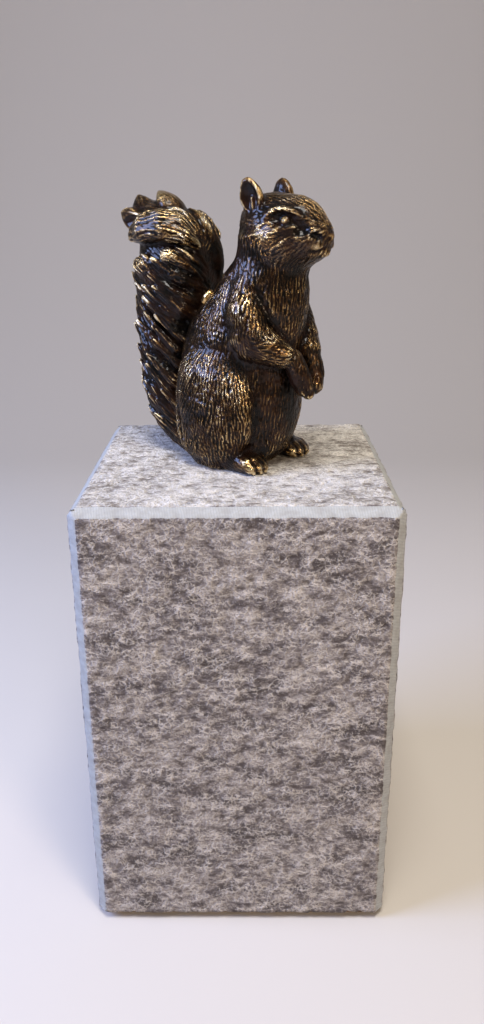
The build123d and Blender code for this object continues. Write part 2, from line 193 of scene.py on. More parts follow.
# %% [markdown]
# ## Floor and light
#
# The object stands on a sweep of pale paper, which rises behind it without an edge, under soft
# studio light: one large soft lamp above, a cooler one on the left like a window, and a warmer,
# weaker one on the right. Dark metal shows little but what it reflects, so the lamps are large
# panels, which give the bronze broad soft highlights with dark gaps between them. The world fills
# the shadows.

# %% Floor, world and lamps
# metres
SWEEP_HALF_WIDTH, SWEEP_FRONT, SWEEP_BACK, SWEEP_RADIUS, SWEEP_TOP = 1.6, -1.2, 0.5, 0.5, 1.6
SWEEP_STEPS = 24
profile = [(SWEEP_FRONT, 0.0)]
for index in range(SWEEP_STEPS + 1):
    bend = pi / 2 * index / SWEEP_STEPS
    profile.append((SWEEP_BACK + SWEEP_RADIUS * sin(bend), SWEEP_RADIUS * (1 - cos(bend))))
profile.append((SWEEP_BACK + SWEEP_RADIUS, SWEEP_TOP))
floor_mesh = bpy.data.meshes.new("studio_sweep")
floor_mesh.from_pydata(
    [(across, y, z) for y, z in profile for across in (-SWEEP_HALF_WIDTH, SWEEP_HALF_WIDTH)], [],
    [(2 * row, 2 * row + 1, 2 * row + 3, 2 * row + 2) for row in range(len(profile) - 1)])
floor_mesh.shade_smooth()
floor = bpy.data.objects.new("studio_sweep", floor_mesh)
bpy.context.scene.collection.objects.link(floor)
floor_paint, tree = blank_material("matt_studio_paper")
paper = add(tree, SURFACE, {"Base Color": "#CFC8BF", "Roughness": 0.9})
add(tree, "ShaderNodeOutputMaterial", (paper,))
floor_mesh.materials.append(floor_paint)
floor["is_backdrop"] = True

world = bpy.data.worlds.new("studio")
bpy.context.scene.world = world
world.use_nodes = True
world.node_tree.nodes.clear()
fill = add(world.node_tree, "ShaderNodeBackground", {"Color": "#D8D2CC", "Strength": 0.32})
add(world.node_tree, "ShaderNodeOutputWorld", (fill,))

# name, place in metres, side in metres, watts, colour
LAMPS = [
    ("overhead_panel", (0.04, -0.28, 0.85), 0.28, 5.4, "#FFFBF4"),
    ("window_panel", (-0.60, -0.16, 0.48), 0.34, 7.2, "#A9C0FF"),
    ("warm_panel", (0.45, -0.70, 0.50), 0.20, 2.3, "#FFE2C0"),
]
LAMP_TARGET = Vector((0, 0, 0.17))
for name, place, side, watts, colour in LAMPS:
    panel = bpy.data.lights.new(name, "AREA")
    panel.size = side
    panel.energy = watts
    panel.color = linear(colour)[:3]
    lamp = bpy.data.objects.new(name, panel)
    lamp.location = place
    lamp.rotation_euler = (LAMP_TARGET - Vector(place)).to_track_quat("-Z", "Y").to_euler()
    bpy.context.scene.collection.objects.link(lamp)
print("lamps:", len(LAMPS))

# %% [markdown]
# ## The squirrel's own frame
#
# The animal is modelled in millimetres in a frame of its own, nose towards +X, left side towards +Y
# and feet on zero, exactly as in the construction drawing. One matrix then turns it, sets it on the
# stone and changes millimetres to metres. Modelling in real millimetres keeps every size readable.

# %% From the squirrel's frame to the object's
FIGURE_X, FIGURE_Y = -3.8, 6.6
FIGURE_TURN = -36.7
stone_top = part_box("plinth_block")[1].z
to_object = Matrix.Translation((FIGURE_X * MM, FIGURE_Y * MM, stone_top))
to_object = to_object @ Matrix.Rotation(radians(FIGURE_TURN), 4, "Z") @ Matrix.Scale(MM, 4)
print("the squirrel stands at", round(stone_top / MM, 1), "mm")


def mesh_object(name, points, faces):
    """A new object from arrays of points and of faces that all have as many corners."""
    mesh = bpy.data.meshes.new(name)
    mesh.vertices.add(len(points))
    mesh.vertices.foreach_set("co", np.asarray(points, np.float32).ravel())
    mesh.loops.add(faces.size)
    mesh.loops.foreach_set("vertex_index", np.asarray(faces, np.int32).ravel())
    mesh.polygons.add(len(faces))
    mesh.polygons.foreach_set("loop_start", np.arange(0, faces.size, faces.shape[1], dtype=np.int32))
    mesh.update(calc_edges=True)
    mesh.validate()
    made = bpy.data.objects.new(name, mesh)
    bpy.context.scene.collection.objects.link(made)
    return made


# %% [markdown]
# ## Clay
#
# A sculpted animal has no flat faces and no clear borders between its parts, so boxes and lofts are a
# poor start. Here the form is clay: a grid that stores at every point how far it is from the
# surface, negative inside. Adding a form takes the smaller of two distances, carving takes the
# larger, and a soft blend between them makes the fillets that a thumb leaves in real clay.


# %% The clay
class Clay:
    """A block of clay as a grid of distances to its surface, in millimetres."""

    def __init__(self, low, high, step):
        self.low = np.array(low, np.float32)
        self.step = step
        self.axes = [np.arange(a, b, step, dtype=np.float32) for a, b in zip(low, high)]
        self.field = np.full([len(axis) for axis in self.axes], 99.0, np.float32)
        self.kind = np.zeros(self.field.shape, np.uint8)

    def near(self, low, high):
        """The cells in a box, and their places along x, y and z."""
        cells = tuple(slice(*np.searchsorted(axis, (a, b))) for axis, a, b in zip(self.axes, low, high))
        x, y, z = (axis[cell] for axis, cell in zip(self.axes, cells))
        return cells, (x[:, None, None], y[None, :, None], z[None, None, :])

    def add(self, form, soft, kind=None):
        """Add a form, with a fillet that is about as wide as soft."""
        distance, low, high = form
        cells, where = self.near(low - 2 * soft - 1, high + 2 * soft + 1)
        old, new = self.field[cells], distance(*where)
        if kind is not None:
            self.kind[cells] = np.where(new < old, kind, self.kind[cells])
        overlap = np.maximum(soft - np.abs(old - new), 0)
        self.field[cells] = np.minimum(old, new) - overlap ** 2 / (4 * soft)

    def carve(self, form, soft):
        """Take a form away, with its edges rounded by about soft."""
        distance, low, high = form
        cells, where = self.near(low - 2 * soft - 1, high + 2 * soft + 1)
        old, new = self.field[cells], -distance(*where)
        overlap = np.maximum(soft - np.abs(old - new), 0)
        self.field[cells] = np.maximum(old, new) + overlap ** 2 / (4 * soft)

    def skin(self):
        """The surface as points and four-cornered faces, with one point in each cell it crosses."""
        inside = self.field < 0
        sizes = [size - 1 for size in inside.shape]
        corners = sum(
            inside[i:sizes[0] + i, j:sizes[1] + j, k:sizes[2] + k].astype(np.int8)
            for i in (0, 1) for j in (0, 1) for k in (0, 1))
        crossed = (corners > 0) & (corners < 8)
        number = np.full(crossed.shape, -1, np.int32)
        number[crossed] = np.arange(crossed.sum())
        cell = np.argwhere(crossed)
        total = np.zeros((len(cell), 3), np.float32)
        hits = np.zeros((len(cell), 1), np.float32)
        faces = []
        for axis in range(3):
            second, third = (axis + 1) % 3, (axis + 2) % 3
            for offset in ((0, 0), (0, 1), (1, 0), (1, 1)):
                start = np.zeros(3, np.int32)
                start[[second, third]] = offset
                end = start.copy()
                end[axis] = 1
                first = self.field[tuple((cell + start).T)]
                last = self.field[tuple((cell + end).T)]
                cut = (first < 0) != (last < 0)
                share = np.where(cut, first / np.where(cut, first - last, 1), 0)[:, None]
                total += np.where(cut[:, None], start + share * (end - start), 0)
                hits += cut[:, None]
            before = np.take(inside, range(inside.shape[axis] - 1), axis)
            after = np.take(inside, range(1, inside.shape[axis]), axis)
            for chosen, order in ((before & ~after, (0, 1, 2, 3)), (after & ~before, (3, 2, 1, 0))):
                edge = np.argwhere(chosen)
                ring = []
                for back in ((1, 1), (0, 1), (0, 0), (1, 0)):
                    place = edge.copy()
                    place[:, second] -= back[0]
                    place[:, third] -= back[1]
                    ring.append(number[tuple(place.T)])
                faces.append(np.stack([ring[index] for index in order], axis=1))
        return self.low + self.step * (cell + total / hits), np.concatenate(faces)

    def kind_at(self, points):
        """The kind of clay at each point."""
        place = np.rint((points - self.low) / self.step).astype(int)
        place = np.clip(place, 0, np.array(self.kind.shape) - 1)
        return self.kind[tuple(place.T)]


# %% [markdown]
# Four kinds of form are enough: a stack of ovals, a ball of three radii, a pointed leaf, and a limb
# through points. Each is a rule for the distance from its surface, with the box that it fills. A
# limb's distance is in millimetres as it is. The others start as shares of a radius, so they are
# divided by how fast they change there, which makes them millimetres and keeps the fillets even.


# %% A stack of ovals
def smooth_rows(rows, count=240):
    """A table with smooth curves drawn through its rows, as many finer rows."""
    rows = np.array(rows, float)
    at = rows[:, 0]
    slopes = np.gradient(rows, at, axis=0)
    fine = np.linspace(at[0], at[-1], count)
    low = np.clip(np.searchsorted(at, fine) - 1, 0, len(at) - 2)
    span = (at[low + 1] - at[low])[:, None]
    t = (fine - at[low])[:, None] / span
    return (rows[low] * (1 + 2 * t) * (1 - t) ** 2 + slopes[low] * span * t * (1 - t) ** 2
            + rows[low + 1] * t ** 2 * (3 - 2 * t) + slopes[low + 1] * span * t ** 2 * (t - 1))


def stack(rows, axis):
    """A form through ovals. Each row: place along the axis, two middles and two half sizes."""
    fine = smooth_rows(rows)
    others = [index for index in range(3) if index != axis]
    low, high = np.zeros(3), np.zeros(3)
    low[axis], high[axis] = fine[0, 0], fine[-1, 0]
    low[others] = (fine[:, 1:3] - fine[:, 3:5]).min(0)
    high[others] = (fine[:, 1:3] + fine[:, 3:5]).max(0)

    def distance(*where):
        along = where[axis]
        first, second, wide, tall = (
            np.interp(along, fine[:, 0], fine[:, column]).astype(np.float32) for column in (1, 2, 3, 4))
        wide, tall = np.maximum(wide, 0.05), np.maximum(tall, 0.05)
        u = (where[others[0]] - first) / wide
        v = (where[others[1]] - second) / tall
        reach = np.sqrt(u * u + v * v) + 1e-6
        slope = np.sqrt((u / wide) ** 2 + (v / tall) ** 2) / reach + 1e-6
        ends = np.maximum(fine[0, 0] - along, along - fine[-1, 0])
        return np.maximum((reach - 1) / slope, ends)

    return distance, low, high


# %% A ball, a leaf and a limb
def ball(middle, radii, turn=(0, 0, 0)):
    """A ball of three radii, turned by degrees about x, y and z."""
    middle, radii = np.array(middle, float), np.broadcast_to(radii, 3)
    own = np.array(Euler([radians(angle) for angle in turn]).to_matrix()).T

    def distance(x, y, z):
        x, y, z = x - middle[0], y - middle[1], z - middle[2]
        near = far = 1e-9
        for (a, b, c), radius in zip(own, radii):
            along = (a * x + b * y + c * z) / radius
            near = near + along ** 2
            far = far + (along / radius) ** 2
        near = np.sqrt(near)
        return (near * (near - 1) / np.sqrt(far)).astype(np.float32)

    return distance, middle - max(radii), middle + max(radii)


def leaf(middle, radii, turn=(0, 0, 0)):
    """A flat leaf with two pointed ends: half width, half thickness and half length, turned by degrees."""
    middle = np.array(middle, float)
    own = np.array(Euler([radians(angle) for angle in turn]).to_matrix()).T

    def distance(x, y, z):
        x, y, z = x - middle[0], y - middle[1], z - middle[2]
        across, through, along = ((a * x + b * y + c * z) / radius for (a, b, c), radius in zip(own, radii))
        reach = np.sqrt(across ** 2 + through ** 2) + 1e-6
        sideways = ((across / radii[0]) ** 2 + (through / radii[1]) ** 2) / reach ** 2
        slope = np.sqrt(sideways + (2 * along / radii[2]) ** 2)
        return ((reach + along ** 2 - 1) / slope).astype(np.float32)

    return distance, middle - max(radii), middle + max(radii)


def limb(points, radii):
    """A round limb through points, with a radius at each."""
    points, radii = np.array(points, float), np.broadcast_to(radii, len(points))

    def distance(x, y, z):
        best = np.float32(99)
        for start, end, first, last in zip(points, points[1:], radii, radii[1:]):
            run = end - start
            dot = (x - start[0]) * run[0] + (y - start[1]) * run[1] + (z - start[2]) * run[2]
            t = np.clip(dot / (run @ run), 0, 1)
            away = [place - a - t * b for place, a, b in zip((x, y, z), start, run)]
            length = np.sqrt(away[0] ** 2 + away[1] ** 2 + away[2] ** 2)
            best = np.minimum(best, length - (first + (last - first) * t))
        return best.astype(np.float32)

    reach = max(radii)
    return distance, points.min(0) - reach, points.max(0) + reach


# %% Work through a list of forms
def shape(clay, forms, side=1):
    """Add or carve forms in their order, given for the left side and mirrored where side is -1.

    Each form has its places, its radii, how softly it joins and its kind of clay, where None carves.
    One place makes a ball, which may have a turn in degrees about x, y and z, and more make a limb.
    """
    for places, radii, soft, kind, *turns in forms:
        own = [(x, side * y, z) for x, y, z in places]
        if len(own) > 1:
            form = limb(own, radii)
        else:
            about_x, about_y, about_z = turns[0] if turns else (0, 0, 0)
            form = ball(own[0], radii, (side * about_x, about_y, side * about_z))
        if kind is None:
            clay.carve(form, soft)
        else:
            clay.add(form, soft, kind)


# %% [markdown]
# ## Rough forms of the body
#
# The trunk, the haunches and the head start as the same stacks of ovals as the castings, with every
# table given as shares of a few real sizes. The clay then joins them softly: a wide fillet at the
# neck, a narrow one round the haunch, so that the thigh stays readable as a separate muscle. Every
# form also marks its clay with a kind, which later decides how the fur is drawn there.

# %% Block in trunk, haunches and head
CLAY_STEP = 0.42
TRUNK, HAUNCH, HEAD, EAR, ARM, FOOT, BARE = range(1, 8)
SIDES = (-1, 1)

TRUNK_SIZE = (72.0, 43.6, 33.0)
SEAT_X = 3.0
# height, middle forward of the seat, length and width, as shares of the trunk's sizes
TRUNK_SHARES = [
    (-0.030, -0.010, 0.640, 0.700), (0.000, 0.000, 0.665, 0.727), (0.042, 0.014, 0.803, 0.861),
    (0.125, 0.032, 0.927, 0.958), (0.264, 0.046, 1.000, 1.000), (0.417, 0.055, 1.000, 0.994),
    (0.542, 0.089, 0.972, 0.945), (0.653, 0.151, 0.908, 0.873), (0.743, 0.232, 0.790, 0.800),
    (0.833, 0.298, 0.650, 0.715), (0.917, 0.349, 0.532, 0.655), (1.000, 0.362, 0.468, 0.606),
]
HAUNCH_SIZE = (42.0, 30.5, 15.0)
HAUNCH_PLACE = (4.6, 13.3)
# height, forward, out, length and width, as shares of the haunch's sizes and place
HAUNCH_SHARES = [
    (-0.05, 0.02, 0.92, 0.50, 0.50), (0.00, 0.02, 0.94, 0.56, 0.56), (0.13, 0.00, 1.00, 0.80, 0.88),
    (0.36, 0.02, 1.02, 0.98, 1.00), (0.60, 0.01, 0.97, 0.98, 0.98), (0.82, -0.02, 0.88, 0.76, 0.84),
    (0.93, -0.04, 0.78, 0.50, 0.56), (0.99, -0.05, 0.70, 0.16, 0.20),
]
# fold between the haunch and the tail
TAIL_FOLD = ([(-8.6, 17.2, 34.0), (-7.6, 18.4, 22.0), (-4.6, 18.0, 9.0)], (0.6, 1.0, 0.4), 2.8, None)
HEAD_SIZE = (31.4, 21.0, 21.4)
NAPE = (8.58, 75.0)
# along from the nape, up, height and width, as shares of the head's sizes
HEAD_SHARES = [
    (0.000, 0.000, 0.16, 0.16), (0.040, 0.000, 0.50, 0.46), (0.150, 0.000, 0.82, 0.78),
    (0.320, 0.000, 0.97, 0.97), (0.480, -0.022, 0.98, 1.00), (0.660, -0.055, 0.97, 0.89),
    (0.810, -0.078, 0.79, 0.66), (0.905, -0.115, 0.54, 0.46), (0.960, -0.135, 0.34, 0.30),
    (0.985, -0.150, 0.12, 0.12),
]

# how wide the fillets are, and the corners of the block of clay
SEAT_FILLET, HAUNCH_FILLET, NECK_FILLET = 1.0, 1.3, 4.0
BODY_BLOCK = ((-21, -24, -1.8), (43, 24, 93))

body = Clay(*BODY_BLOCK, CLAY_STEP)
height, length, width = TRUNK_SIZE
body.add(stack([
    (height * up, SEAT_X + length * forward, 0, length * long / 2, width * wide / 2)
    for up, forward, long, wide in TRUNK_SHARES], 2), SEAT_FILLET, TRUNK)
for side in SIDES:
    height, length, width = HAUNCH_SIZE
    body.add(stack([
        (height * up, HAUNCH_PLACE[0] + length * forward, side * HAUNCH_PLACE[1] * out,
         length * long / 2, width * wide / 2)
        for up, forward, out, long, wide in HAUNCH_SHARES], 2), HAUNCH_FILLET, HAUNCH)
    shape(body, [TAIL_FOLD], side)
length, height, width = HEAD_SIZE
body.add(stack([
    (NAPE[0] + length * along, 0, NAPE[1] + height * up, width * wide / 2, height * tall / 2)
    for along, up, tall, wide in HEAD_SHARES], 0), NECK_FILLET, HEAD)
print("clay:", body.field.size, "points")

# %% [markdown]
# ## Face
#
# The face decides whether the animal looks alive. A squirrel's eye is large and dark and sits in an
# almond between a lower lid and a bony brow. The muzzle is short, with a ridge on each side, a pad
# that carries the whiskers, and a small chin. The ears are cups, hollowed from a flat egg.

# %% Model the face
EAR_TURN = (-12, -10, -2)
# for the left side: places, radii, softness, kind of clay or None to carve, and the turn of a ball
FACE = [
    # cheek, brow, three strands of fur behind the eye, and the ridge along the muzzle
    ([(24.0, 7.4, 70.6)], (6.4, 3.2, 4.7), 2.4, HEAD, (0, 30, 0)),
    ([(22.0, 9.4, 78.0), (24.6, 9.1, 79.5), (27.4, 8.6, 80.3), (29.8, 7.9, 80.1), (31.6, 6.9, 79.2),
      (32.8, 6.0, 77.6)], (0.7, 1.1, 1.2, 1.1, 0.8, 0.5), 1.4, HEAD),
    ([(22.6, 10.1, 76.6), (20.8, 10.4, 75.0), (19.4, 10.2, 73.2)], (0.45, 0.7, 0.4), 0.7, HEAD),
    ([(27.3, 10.0, 75.0), (24.6, 10.6, 73.0), (21.4, 10.5, 70.6)], (0.45, 0.7, 0.4), 0.7, HEAD),
    ([(30.6, 8.6, 73.4), (28.4, 9.5, 71.4), (26.0, 9.9, 69.6)], (0.45, 0.7, 0.4), 0.7, HEAD),
    ([(31.2, 3.6, 78.8), (33.8, 3.0, 76.9), (36.2, 2.2, 75.0), (38.4, 1.4, 73.8)], 0.9, 1.6, HEAD),
    # eye: a deep almond socket under the brow, the hollow in front of it, the ball and the lower lid
    ([(28.8, 9.8, 77.7)], (4.8, 2.7, 2.3), 1.0, None, (0, 8, -18)),
    ([(33.8, 6.9, 75.4)], (2.6, 1.7, 2.2), 1.6, None, (0, 20, -30)),
    ([(28.7, 7.4, 77.0)], 1.8, 0.2, BARE),
    ([(26.4, 9.0, 76.0), (28.0, 9.3, 75.2), (29.8, 8.9, 74.9), (31.6, 7.9, 75.4)], 0.45, 1.0, HEAD),
    # hollow between nose and lip, and the pad of the lip
    ([(37.5, 4.3, 73.0)], (2.0, 1.2, 0.9), 0.9, None, (0, 15, -28)),
    ([(36.0, 3.8, 70.4)], (2.5, 1.8, 1.5), 1.0, BARE, (0, 12, -28)),
    # ear: a flat egg with a small tip, hollowed outwards, and a fold in the cup
    ([(16.7, 8.2, 83.6)], (4.0, 2.0, 5.0), 1.0, EAR, EAR_TURN),
    ([(15.8, 9.0, 87.6)], (2.1, 1.1, 1.8), 1.2, EAR, EAR_TURN),
    ([(16.6, 10.3, 83.9)], (3.3, 2.3, 4.5), 0.5, None, EAR_TURN),
    ([(17.6, 8.3, 80.6), (16.9, 8.5, 83.5)], (0.9, 0.5), 0.8, EAR),
    # mouth, running back under the pad
    ([(40.6, 0.2, 70.2), (39.0, 2.0, 69.7), (37.2, 3.7, 68.7), (35.4, 4.9, 68.6)], 0.4, 0.6, None),
]
CHIN = ([(36.6, 0, 68.6)], (2.4, 2.2, 1.4), 1.0, HEAD, (0, 20, 0))
NOSE = ([(38.6, 0, 72.5)], (1.6, 2.3, 1.6), 1.0, BARE, (0, -10, 0))
NOSTRIL = ([(40.0, 1.25, 72.2)], (0.8, 0.55, 0.5), 0.3, None)
LIP_SLIT = ([(40.4, 0, 71.8), (39.9, 0, 70.6), (39.4, 0, 69.8)], 0.26, 0.3, None)
for side in SIDES:
    shape(body, FACE, side)
shape(body, [CHIN, NOSE])
for side in SIDES:
    shape(body, [NOSTRIL], side)
shape(body, [LIP_SLIT])
print("forms on each side of the face:", len(FACE))

# %% [markdown]
# ## Arms, folded paws and feet
#
# The arms hang close to the chest and the paws hang in front of the belly, side by side, with a slit
# between them. Each paw is one slim limb, grooved into four long fingers. The feet are long and lie
# flat on the stone, with four knuckled toes and claws, and everything below the stone's level is cut
# away.

# %% Places and sizes of the limbs
# the right arm, on the near side, lies closer to the chest, and its paw hangs a little lower
ARM_RUNS = {
    -1: [(15.5, -8.5, 57.0), (16.6, -10.8, 50.5), (19.5, -11.4, 45.2), (24.0, -10.2, 41.2),
         (27.8, -7.2, 38.2)],
    1: [(17.0, 8.0, 57.0), (18.8, 10.3, 50.0), (21.4, 10.2, 45.2), (25.4, 8.6, 41.6), (29.4, 5.8, 38.0)],
}
HAND_RUNS = {
    -1: [(29.8, -5.0, 36.6), (31.0, -4.0, 33.4), (31.8, -3.1, 30.2), (32.4, -2.2, 27.6), (33.4, -1.1, 25.6)],
    1: [(29.6, 5.2, 37.0), (31.4, 4.3, 33.6), (32.5, 3.6, 30.4), (33.0, 3.0, 27.8), (33.2, 2.6, 26.6)],
}
ARM_RADII, ARM_FILLET = (4.6, 6.0, 5.6, 4.5, 3.4), 1.6
HAND_RADII, HAND_FILLET = (3.3, 3.4, 3.4, 3.0, 2.0), 0.5
# forms for the left side, as in the face
FOOT_GAP = ([(24.6, 10.5, 8.0)], (4.8, 4.2, 5.8), 3.0, None)
CHEST_FOLD = ([(20.6, 12.6, 57.0), (24.0, 11.4, 50.0), (27.8, 8.4, 44.8), (30.6, 5.0, 41.0)],
              (0.8, 1.6, 1.6, 1.0), 2.2, None)
ELBOW = ([(17.4, 11.8, 43.0), (18.8, 12.0, 41.0), (23.6, 10.2, 39.2), (28.2, 6.8, 37.2)],
         (5.2, 4.8, 4.0, 3.2), 1.8, ARM)
FEET_HOLLOW = ([(26.0, 0, -1.5)], (8.0, 7.0, 7.0), 3.5, None)
# which way the back of the paw faces, how far the grooves lie sideways on it, and how far out along it
PALM_FORWARD, PALM_OUT = 0.72, 0.66
GROOVE_PLACES, GROOVE_OUTS = (-1.1, 0.0, 1.1), (3.2, 2.9, 1.9)
GROOVE_RADIUS, GROOVE_SOFT = 0.3, 0.4
FOOT_TIP_X, FOOT_Y = 23.8, 12.0
FOOT_LENGTH, FOOT_WIDTH, FOOT_HEIGHT = 22.0, 9.4, 7.4
# how far the heel turns in, and the toes out
HEEL_IN, TOES_OUT = 1.2, 0.6
# middle and half height of the sole's ovals
SOLE_MIDDLE, SOLE_HALF, SOLE_FILLET = 0.42, 0.58, 1.6
# distance behind the tip, width and height
FOOT_SHARES = [(1.08, 0.30, 0.55), (0.94, 0.70, 0.90), (0.60, 0.96, 1.00), (0.34, 1.00, 0.88),
               (0.18, 0.90, 0.70), (0.08, 0.66, 0.50)]
TOE_COUNT, TOE_PITCH, TOE_BOW, TOE_FILLET = 4, 1.95, 0.5, 0.9
# root, knuckle, tip and claw of a toe: forward, fanned out, up, and radius
TOE_JOINTS = [(17.5, 0.0, 3.4, 2.0), (20.8, 0.35, 3.3, 2.0), (22.6, 0.5, 2.0, 1.7), (23.9, 0.55, 0.9, 0.7)]

# %% Model the limbs
for side in SIDES:
    # gap between belly and foot, then the arm from shoulder to wrist in one slope, with the elbow below it
    shape(body, [FOOT_GAP, CHEST_FOLD], side)
    body.add(limb(ARM_RUNS[side], ARM_RADII), ARM_FILLET, ARM)
    shape(body, [ELBOW], side)
    # paw: a limb with shallow grooves between the fingers
    hand = HAND_RUNS[side]
    body.add(limb(hand, HAND_RADII), HAND_FILLET, BARE)
    for groove in GROOVE_PLACES:
        run = [(px + PALM_FORWARD * out + PALM_OUT * groove,
                py + side * (PALM_OUT * out - PALM_FORWARD * groove), pz)
               for (px, py, pz), out in zip(hand[-len(GROOVE_OUTS):], GROOVE_OUTS)]
        body.carve(limb(run, GROOVE_RADIUS), GROOVE_SOFT)
    # hind foot: a thick sole and four blunt toes
    body.add(stack([
        (FOOT_TIP_X - FOOT_LENGTH * behind, side * (FOOT_Y - HEEL_IN * behind + TOES_OUT),
         FOOT_HEIGHT * tall * SOLE_MIDDLE, FOOT_WIDTH * wide / 2, FOOT_HEIGHT * tall * SOLE_HALF)
        for behind, wide, tall in FOOT_SHARES], 0), SOLE_FILLET, FOOT)
    for toe in range(TOE_COUNT):
        fan = toe - (TOE_COUNT - 1) / 2
        joints = [(forward - TOE_BOW * fan ** 2, side * FOOT_Y + TOE_PITCH * fan + out * fan, up)
                  for forward, out, up, _ in TOE_JOINTS]
        body.add(limb(joints, [joint[-1] for joint in TOE_JOINTS]), TOE_FILLET, FOOT)
# hollow between the feet, and flat seat
shape(body, [FEET_HOLLOW])
body.field = np.maximum(body.field, -body.axes[2][None, None, :])
points, faces = body.skin()
print("body:", len(points), "points,", 2 * len(faces), "triangles")

# %% [markdown]
# The skin of the clay is in the squirrel's frame. Small functions bring its points and directions into
# the object's frame, and write a value on each point of a piece.


# %% Make a piece of the clay
def placed(points):
    """Points of the squirrel's frame, in the object's frame."""
    matrix = np.array(to_object)
    return np.asarray(points) @ matrix[:3, :3].T + matrix[:3, 3]


def turned(directions):
    """Directions of the squirrel's frame, in the object's frame, of length one."""
    matrix = np.array(to_object)[:3, :3] / MM
    out = np.asarray(directions) @ matrix.T
    return out / np.maximum(np.linalg.norm(out, axis=1, keepdims=True), 1e-6)


def store(piece, name, values):
    """Write one value or one vector for each point of a piece as a named attribute."""
    values = np.asarray(values, np.float32)
    kind, field = ("FLOAT", "value") if values.ndim == 1 else ("FLOAT_VECTOR", "vector")
    piece.data.attributes.new(name, kind, "POINT").data.foreach_set(field, values.ravel())


body_sculpt = mesh_object("body_sculpt", placed(points), faces)

# %% [markdown]
# ## Which way the fur lies
#
# Fur has a direction everywhere: back from the nose over the skull, down and back on the cheeks, down
# the neck, the chest and the thighs, along each arm towards the wrist, up the ears. The direction is
# stored on every point of the clay, together with how deep the tool went and how long its strokes
# were. Toes, nose and eyes stay smooth, and the paws nearly so. A last value marks the places that
# hands and cloths reach most, where the bronze will be rubbed bright. The same value also carries
# painted light and shade: a painted highlight on each eye, painted shade round the eyes and in the
# hollows of the face, and on the tail painted light on the upward crest and painted shade under the
# band and between tail and back.

# %% Comb the body
# places in mm: the point from which the fur of the head spreads, where the back begins, where the
# forearms begin, and the middle of the haunch
HEAD_START, BACK_X, FOREARM_X, FOREARM_Z, HAUNCH_X = (45.0, 0, 76.0), 2.0, 21.0, 44.0, 5.0
# how far the strokes slant forward on the way down, and back where it is negative
BACK_SLANT, FRONT_SLANT, HAUNCH_SLANT = -0.35, -0.1, -0.2
# distance forward in mm that slants the haunch's fur by one more, and how far the head's spreads each way
HAUNCH_FAN, HEAD_SPREAD = 45.0, (1, 1, 1.9)
# directions of other fur: forward, out and up
EAR_FLOW, FOREARM_FLOW, FOOT_FLOW = (-0.2, 0.0, 1.0), (1.0, -0.85, -0.1), (1.0, 0.0, -0.3)


def spread(sides, forward, out=0.0, up=-1.0):
    """One direction for each point: forward, out on its own side of the body, and up."""
    return np.stack(np.broadcast_arrays(forward, out * sides, up), axis=1)


kinds = body.kind_at(points)
x, y, z = points.T
sides = np.sign(y)
flow = spread(sides, np.where(x < BACK_X, BACK_SLANT, FRONT_SLANT))
from_nose = (points - np.array(HEAD_START)) * np.array(HEAD_SPREAD)
forearm = (kinds == ARM) & (x > FOREARM_X) & (z < FOREARM_Z)
for chosen, direction in (
        (kinds == HAUNCH, spread(sides, HAUNCH_SLANT + (x - HAUNCH_X) / HAUNCH_FAN)),
        (kinds == HEAD, from_nose),
        (kinds == EAR, spread(sides, *EAR_FLOW)),
        (forearm, spread(sides, *FOREARM_FLOW)),
        (kinds == FOOT, spread(sides, *FOOT_FLOW))):
    flow[chosen] = direction[chosen]

# %% Depth and length of the strokes
# kind of clay: depth of the strokes and their length in mm
STROKES = {0: (0.30, 3.0), TRUNK: (0.30, 2.5), HAUNCH: (0.34, 2.4), HEAD: (0.17, 1.9), EAR: (0.10, 2.2),
           ARM: (0.26, 2.2), FOOT: (0.12, 2.2), BARE: (0.0, 1.6)}
PAW_DEPTH = 0.15


def stroke_sizes(kinds, table):
    """Depth and length of the strokes at each point, by its kind of clay."""
    depth, reach = np.zeros(len(kinds)), np.zeros(len(kinds))
    for kind, (deep, long) in table.items():
        depth[kinds == kind] = deep
        reach[kinds == kind] = long
    return depth, reach


# %% Rub and store
def near_spots(points, spots):
    """How much brighter or darker each point is made near any of the spots, by rubbing and by painted light
    and shade.
    """
    amount = np.zeros(len(points))
    for px, py, pz, radius, strength in spots:
        away = ((points - np.array([px, py, pz])) ** 2).sum(1) / radius ** 2
        amount += strength * np.exp(-away)
    return amount


def comb(piece, points, flow, depth, reach, spots, covered):
    """Store how the fur lies, and the rubbing and the painted light and shade near the spots and their mirror
    images.
    """
    both = spots + [(px, -py, *rest) for px, py, *rest in spots]
    rub_and_painted_light = near_spots(points, both) - covered
    for name, values in (("flow", turned(flow)), ("depth", depth * MM), ("reach", reach * MM), ("rub_and_painted_light", rub_and_painted_light)):
        store(piece, name, values)


# %% Rub the body
depth, reach = stroke_sizes(kinds, STROKES)
depth[(kinds == BARE) & (z < ARM_RUNS[1][0][2])] = PAW_DEPTH
